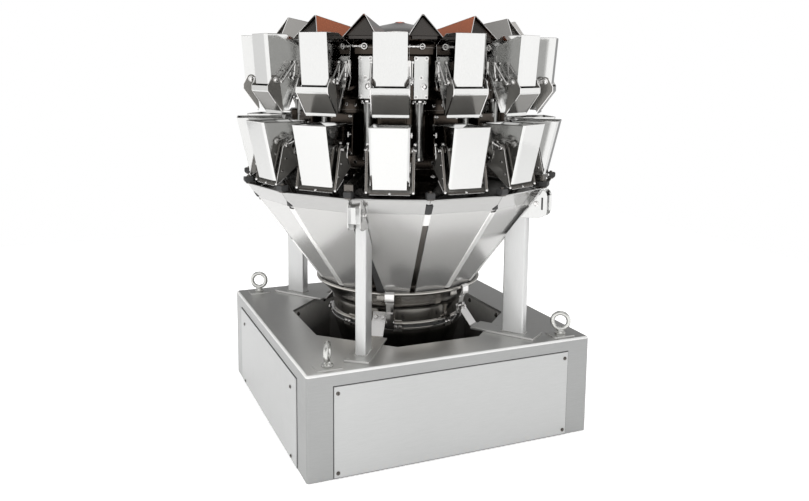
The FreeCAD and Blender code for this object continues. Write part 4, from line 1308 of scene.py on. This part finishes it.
PG, WG = pool_gate(), weigh_gate()
GM = [M_GATE_BAND, M_GATE, M_CHROME, M_DARK]
for i, az in enumerate(HEADS):
    nn_ = "%02d" % (i + 1)
    build("pool_gate_leaf_" + nn_, PG, GM, [HM(az)], body="pool_gate_" + nn_, swaps=("pool_gate_" + nn_,),
          angle=30)
    build("weigh_gate_leaf_" + nn_, WG, GM, [HM(az)], body="weigh_gate_" + nn_, swaps=("weigh_gate_" + nn_,),
          angle=30)

# =====================================================================
# feeder pans and dispersion cone
# =====================================================================
pf = Geo()
h0, h1 = 186.0 * TAN - 12.0, 46.0
pf.join(sheet_patch((186, -h0, 1346), (186, h0, 1346), (470, h1, 1332), (470, -h1, 1332), 6, 16, 1.8,
                    Vector((14, 0, 284)).normalized(), 0.5))
pf.join(tube([(469, -45.5, 1332), (469, 45.5, 1332)], 1.3, 8, 0))
build("pan_floor_sheets", pf, [M_PAN], [HM(a) for a in HEADS], swaps=("feeder_pan_floors",))

ps_ = Geo()
for k_, az in enumerate(MIDS):
    for s in (-1, 1):
        er_h, et_h = HM(az + s * HALF) @ Vector((1, 0, 0)), HM(az + s * HALF) @ Vector((0, 1, 0))
        M = HM(az)
        A = M @ Vector((198, s * 14.0, 1347.5))
        B = er_h * 462.0 + et_h * (-s * 47.0) + Vector((0, 0, 1333.0))
        C = M @ Vector((417, s * 2.6, 1406.5))
        D = M @ Vector((196, s * 2.6, 1380.0))
        nrm = (B - A).cross(C - A).normalized()
        D.z = A.z - (nrm.x * (D.x - A.x) + nrm.y * (D.y - A.y)) / nrm.z
        if nrm.dot(M.to_3x3() @ Vector((0, s, 0))) < 0:
            nrm = -nrm
        # the walls listed here take the warm copy, those of mids 1, 2, 9 and 10 the pale copy: painted reflection
        tone = 2 if (k_, s) in ((11, 1), (0, -1)) else 3 if k_ in (1, 2, 9, 10) else 0
        ps_.join(sheet_patch(A, B, C, D, 10, 6, 1.5, nrm, 0.0, tone))
        ps_.join(tube([B, C], 1.2, 8, 1))
        # rod along the ridge where the two walls meet
    M = HM(az)
    ps_.join(tube([M @ Vector((417, 0, 1404.8)), M @ Vector((197, 0, D.z - 0.9))], 2.9, 10, 0))
build("pan_side_sheets", ps_, [M_PAN, M_CHROME, M_PAN_WALL_WARM_REFLECTION, M_PAN_WALL_PALE_REFLECTION], swaps=("feeder_pan_sides",))

# dark gusset between the two walls under each ridge, with the tab that joins them
pg_ = Geo()
pg_.join(prism([(411, -1.5, 1397), (411, 1.5, 1397), (450, 48, 1339), (450, -48, 1339)], (-3, 0, 0), 0))
pg_.join(boxg(424, -40, 1328.5, 449, 40, 1338, 0))
build("pan_gussets", pg_, [M_GUSSET], [HM(a) for a in MIDS], bevel=0.5)

dc = lathe([(182, 1360.3), (183.5, 1361.2), (183.5, 1362.6), (181, 1364.0), (120, 1378.2), (60, 1391.6), (22, 1399.6),
            (17, 1401.5), (16, 1403), (11, 1403.6), (0.01, 1403.8)], 112, 0)
dc.join(lathe([(0.01, 1360.3), (182, 1360.3)], 112, 0))
dc.join(turned([(0.01, 0), (9, 0), (9, 2), (4, 3), (4, 5), (0.01, 5)], (0, 0, 1402.6), (0, 0, 1), 32, 1))
build("dispersion_table", dc, [M_CONE, M_CHROME], swaps=("dispersion_cone",), angle=30)

# =====================================================================
# floor, light, camera
# =====================================================================
def floor():
    me = bpy.data.meshes.new("floor")
    s = 3.4
    me.from_pydata([(-s, -s, -0.002), (s, -s, -0.002), (s, s, -0.002), (-s, s, -0.002)], [], [[0, 1, 2, 3]])
    m, t, b = nt("floor_pale")
    tc = node(t, "ShaderNodeTexCoord").outputs["Object"]
    n1 = noise(t, tc, 3.0, 3.0, 0.5)
    t.links.new(mixc(t, (0.93, 0.93, 0.93), (0.95, 0.95, 0.95), n1), b.inputs["Base Color"])
    t.links.new(mixf(t, 0.75, 0.85, n1), b.inputs["Roughness"])
    b.inputs["Emission Color"].default_value = (1, 1, 1, 1)
    b.inputs["Emission Strength"].default_value = 0.34
    me.materials.append(m)
    ob = bpy.data.objects.new("floor", me)
    sc.collection.objects.link(ob)


floor()


def world():
    w = bpy.data.worlds.new("studio")
    sc.world = w
    w.use_nodes = True
    t = w.node_tree
    for n in list(t.nodes):
        t.nodes.remove(n)
    out = node(t, "ShaderNodeOutputWorld")
    tc = node(t, "ShaderNodeTexCoord").outputs["Generated"]
    dot = node(t, "ShaderNodeVectorMath", operation="DOT_PRODUCT")
    t.links.new(tc, dot.inputs[0])
    dot.inputs[1].default_value = (-0.386, -0.9225, 0.0)
    half = node(t, "ShaderNodeMath", operation="MULTIPLY_ADD")
    t.links.new(dot.outputs["Value"], half.inputs[0])
    half.inputs[1].default_value = 0.5
    half.inputs[2].default_value = 0.5
    front = ramp(t, half.outputs[0], [(0.10, BACK), (0.36, 1.0)])
    sep = node(t, "ShaderNodeSeparateXYZ")
    t.links.new(tc, sep.inputs[0])
    high = ramp(t, sep.outputs["Z"], [(0.25, 1.0), (0.62, TOPV), (0.80, TOPV), (0.92, TOPL)])
    col = mixc(t, front, high, 1.0, "MULTIPLY")
    bg = node(t, "ShaderNodeBackground")
    t.links.new(col, bg.inputs["Color"])
    bg.inputs["Strength"].default_value = 1.6
    seen = node(t, "ShaderNodeBackground")
    seen.inputs["Color"].default_value = (1, 1, 1, 1)
    seen.inputs["Strength"].default_value = 1.0
    lp = node(t, "ShaderNodeLightPath")
    mx = node(t, "ShaderNodeMixShader")
    t.links.new(lp.outputs["Is Camera Ray"], mx.inputs[0])
    t.links.new(bg.outputs[0], mx.inputs[1])
    t.links.new(seen.outputs[0], mx.inputs[2])
    t.links.new(mx.outputs[0], out.inputs[0])


BACK, TOPV, TOPL = 0.22, 0.30, 0.9
world()


def area(name, loc, target, size, energy, size_y=None):
    L = bpy.data.lights.new(name, "AREA")
    L.shape = "RECTANGLE"
    L.size = size
    L.size_y = size_y or size
    L.energy = energy
    ob = bpy.data.objects.new(name, L)
    ob.location = loc
    d = Vector(target) - Vector(loc)
    ob.rotation_euler = d.to_track_quat("-Z", "Y").to_euler()
    ob.visible_glossy = False
    sc.collection.objects.link(ob)
    return ob


area("key_front", (-1.2, -3.6, 2.6), (0, 0, 0.8), 2.6, 60)
area("fill_left", (-3.6, -0.6, 2.0), (0, 0, 0.8), 2.4, 30)
area("floor_wash", (0.0, 0.0, 5.5), (0, 0, 0), 6.0, 105)

# camera: photograph's station, level-horizon shift kept small by tilting the axis down
CAM_D, CAM_AZ, CAM_H = 2.9993, -22.8439, 1.2737
F_PX, CX, ROLL, PITCH_DEG, SHIFT_Y = 809.82, 399.495, -0.4914, 8.1031, -0.085
W_PX, H_PX = 809.0, 501.0
cam = bpy.data.cameras.new("camera")
cam.sensor_fit = "HORIZONTAL"
cam.sensor_width = 36.0
co = bpy.data.objects.new("camera", cam)
sc.collection.objects.link(co)
sc.camera = co
a = math.radians(CAM_AZ)
co.location = (math.sin(a) * CAM_D, -math.cos(a) * CAM_D, CAM_H)
cam.lens = 36.0 * F_PX / W_PX
cam.shift_x = -(CX - W_PX / 2.0) / W_PX
cam.shift_y = SHIFT_Y
fwd = Vector((-math.sin(a), math.cos(a), 0))
right = Vector((math.cos(a), math.sin(a), 0))
up = Vector((0, 0, 1))
r_ = math.radians(-ROLL)
right2 = right * math.cos(r_) + up * math.sin(r_)
up1 = -right * math.sin(r_) + up * math.cos(r_)
pitch = math.radians(PITCH_DEG)
view = fwd * math.cos(pitch) - up1 * math.sin(pitch)
up2 = up1 * math.cos(pitch) + fwd * math.sin(pitch)
m3 = Matrix((right2, up2, -view)).transposed()
co.rotation_euler = m3.to_euler()
cam.clip_end = 100.0
sc.view_settings.view_transform = "Standard"
sc.view_settings.look = "None"
sc.view_settings.exposure = 0.0
sc.view_settings.gamma = 1.0
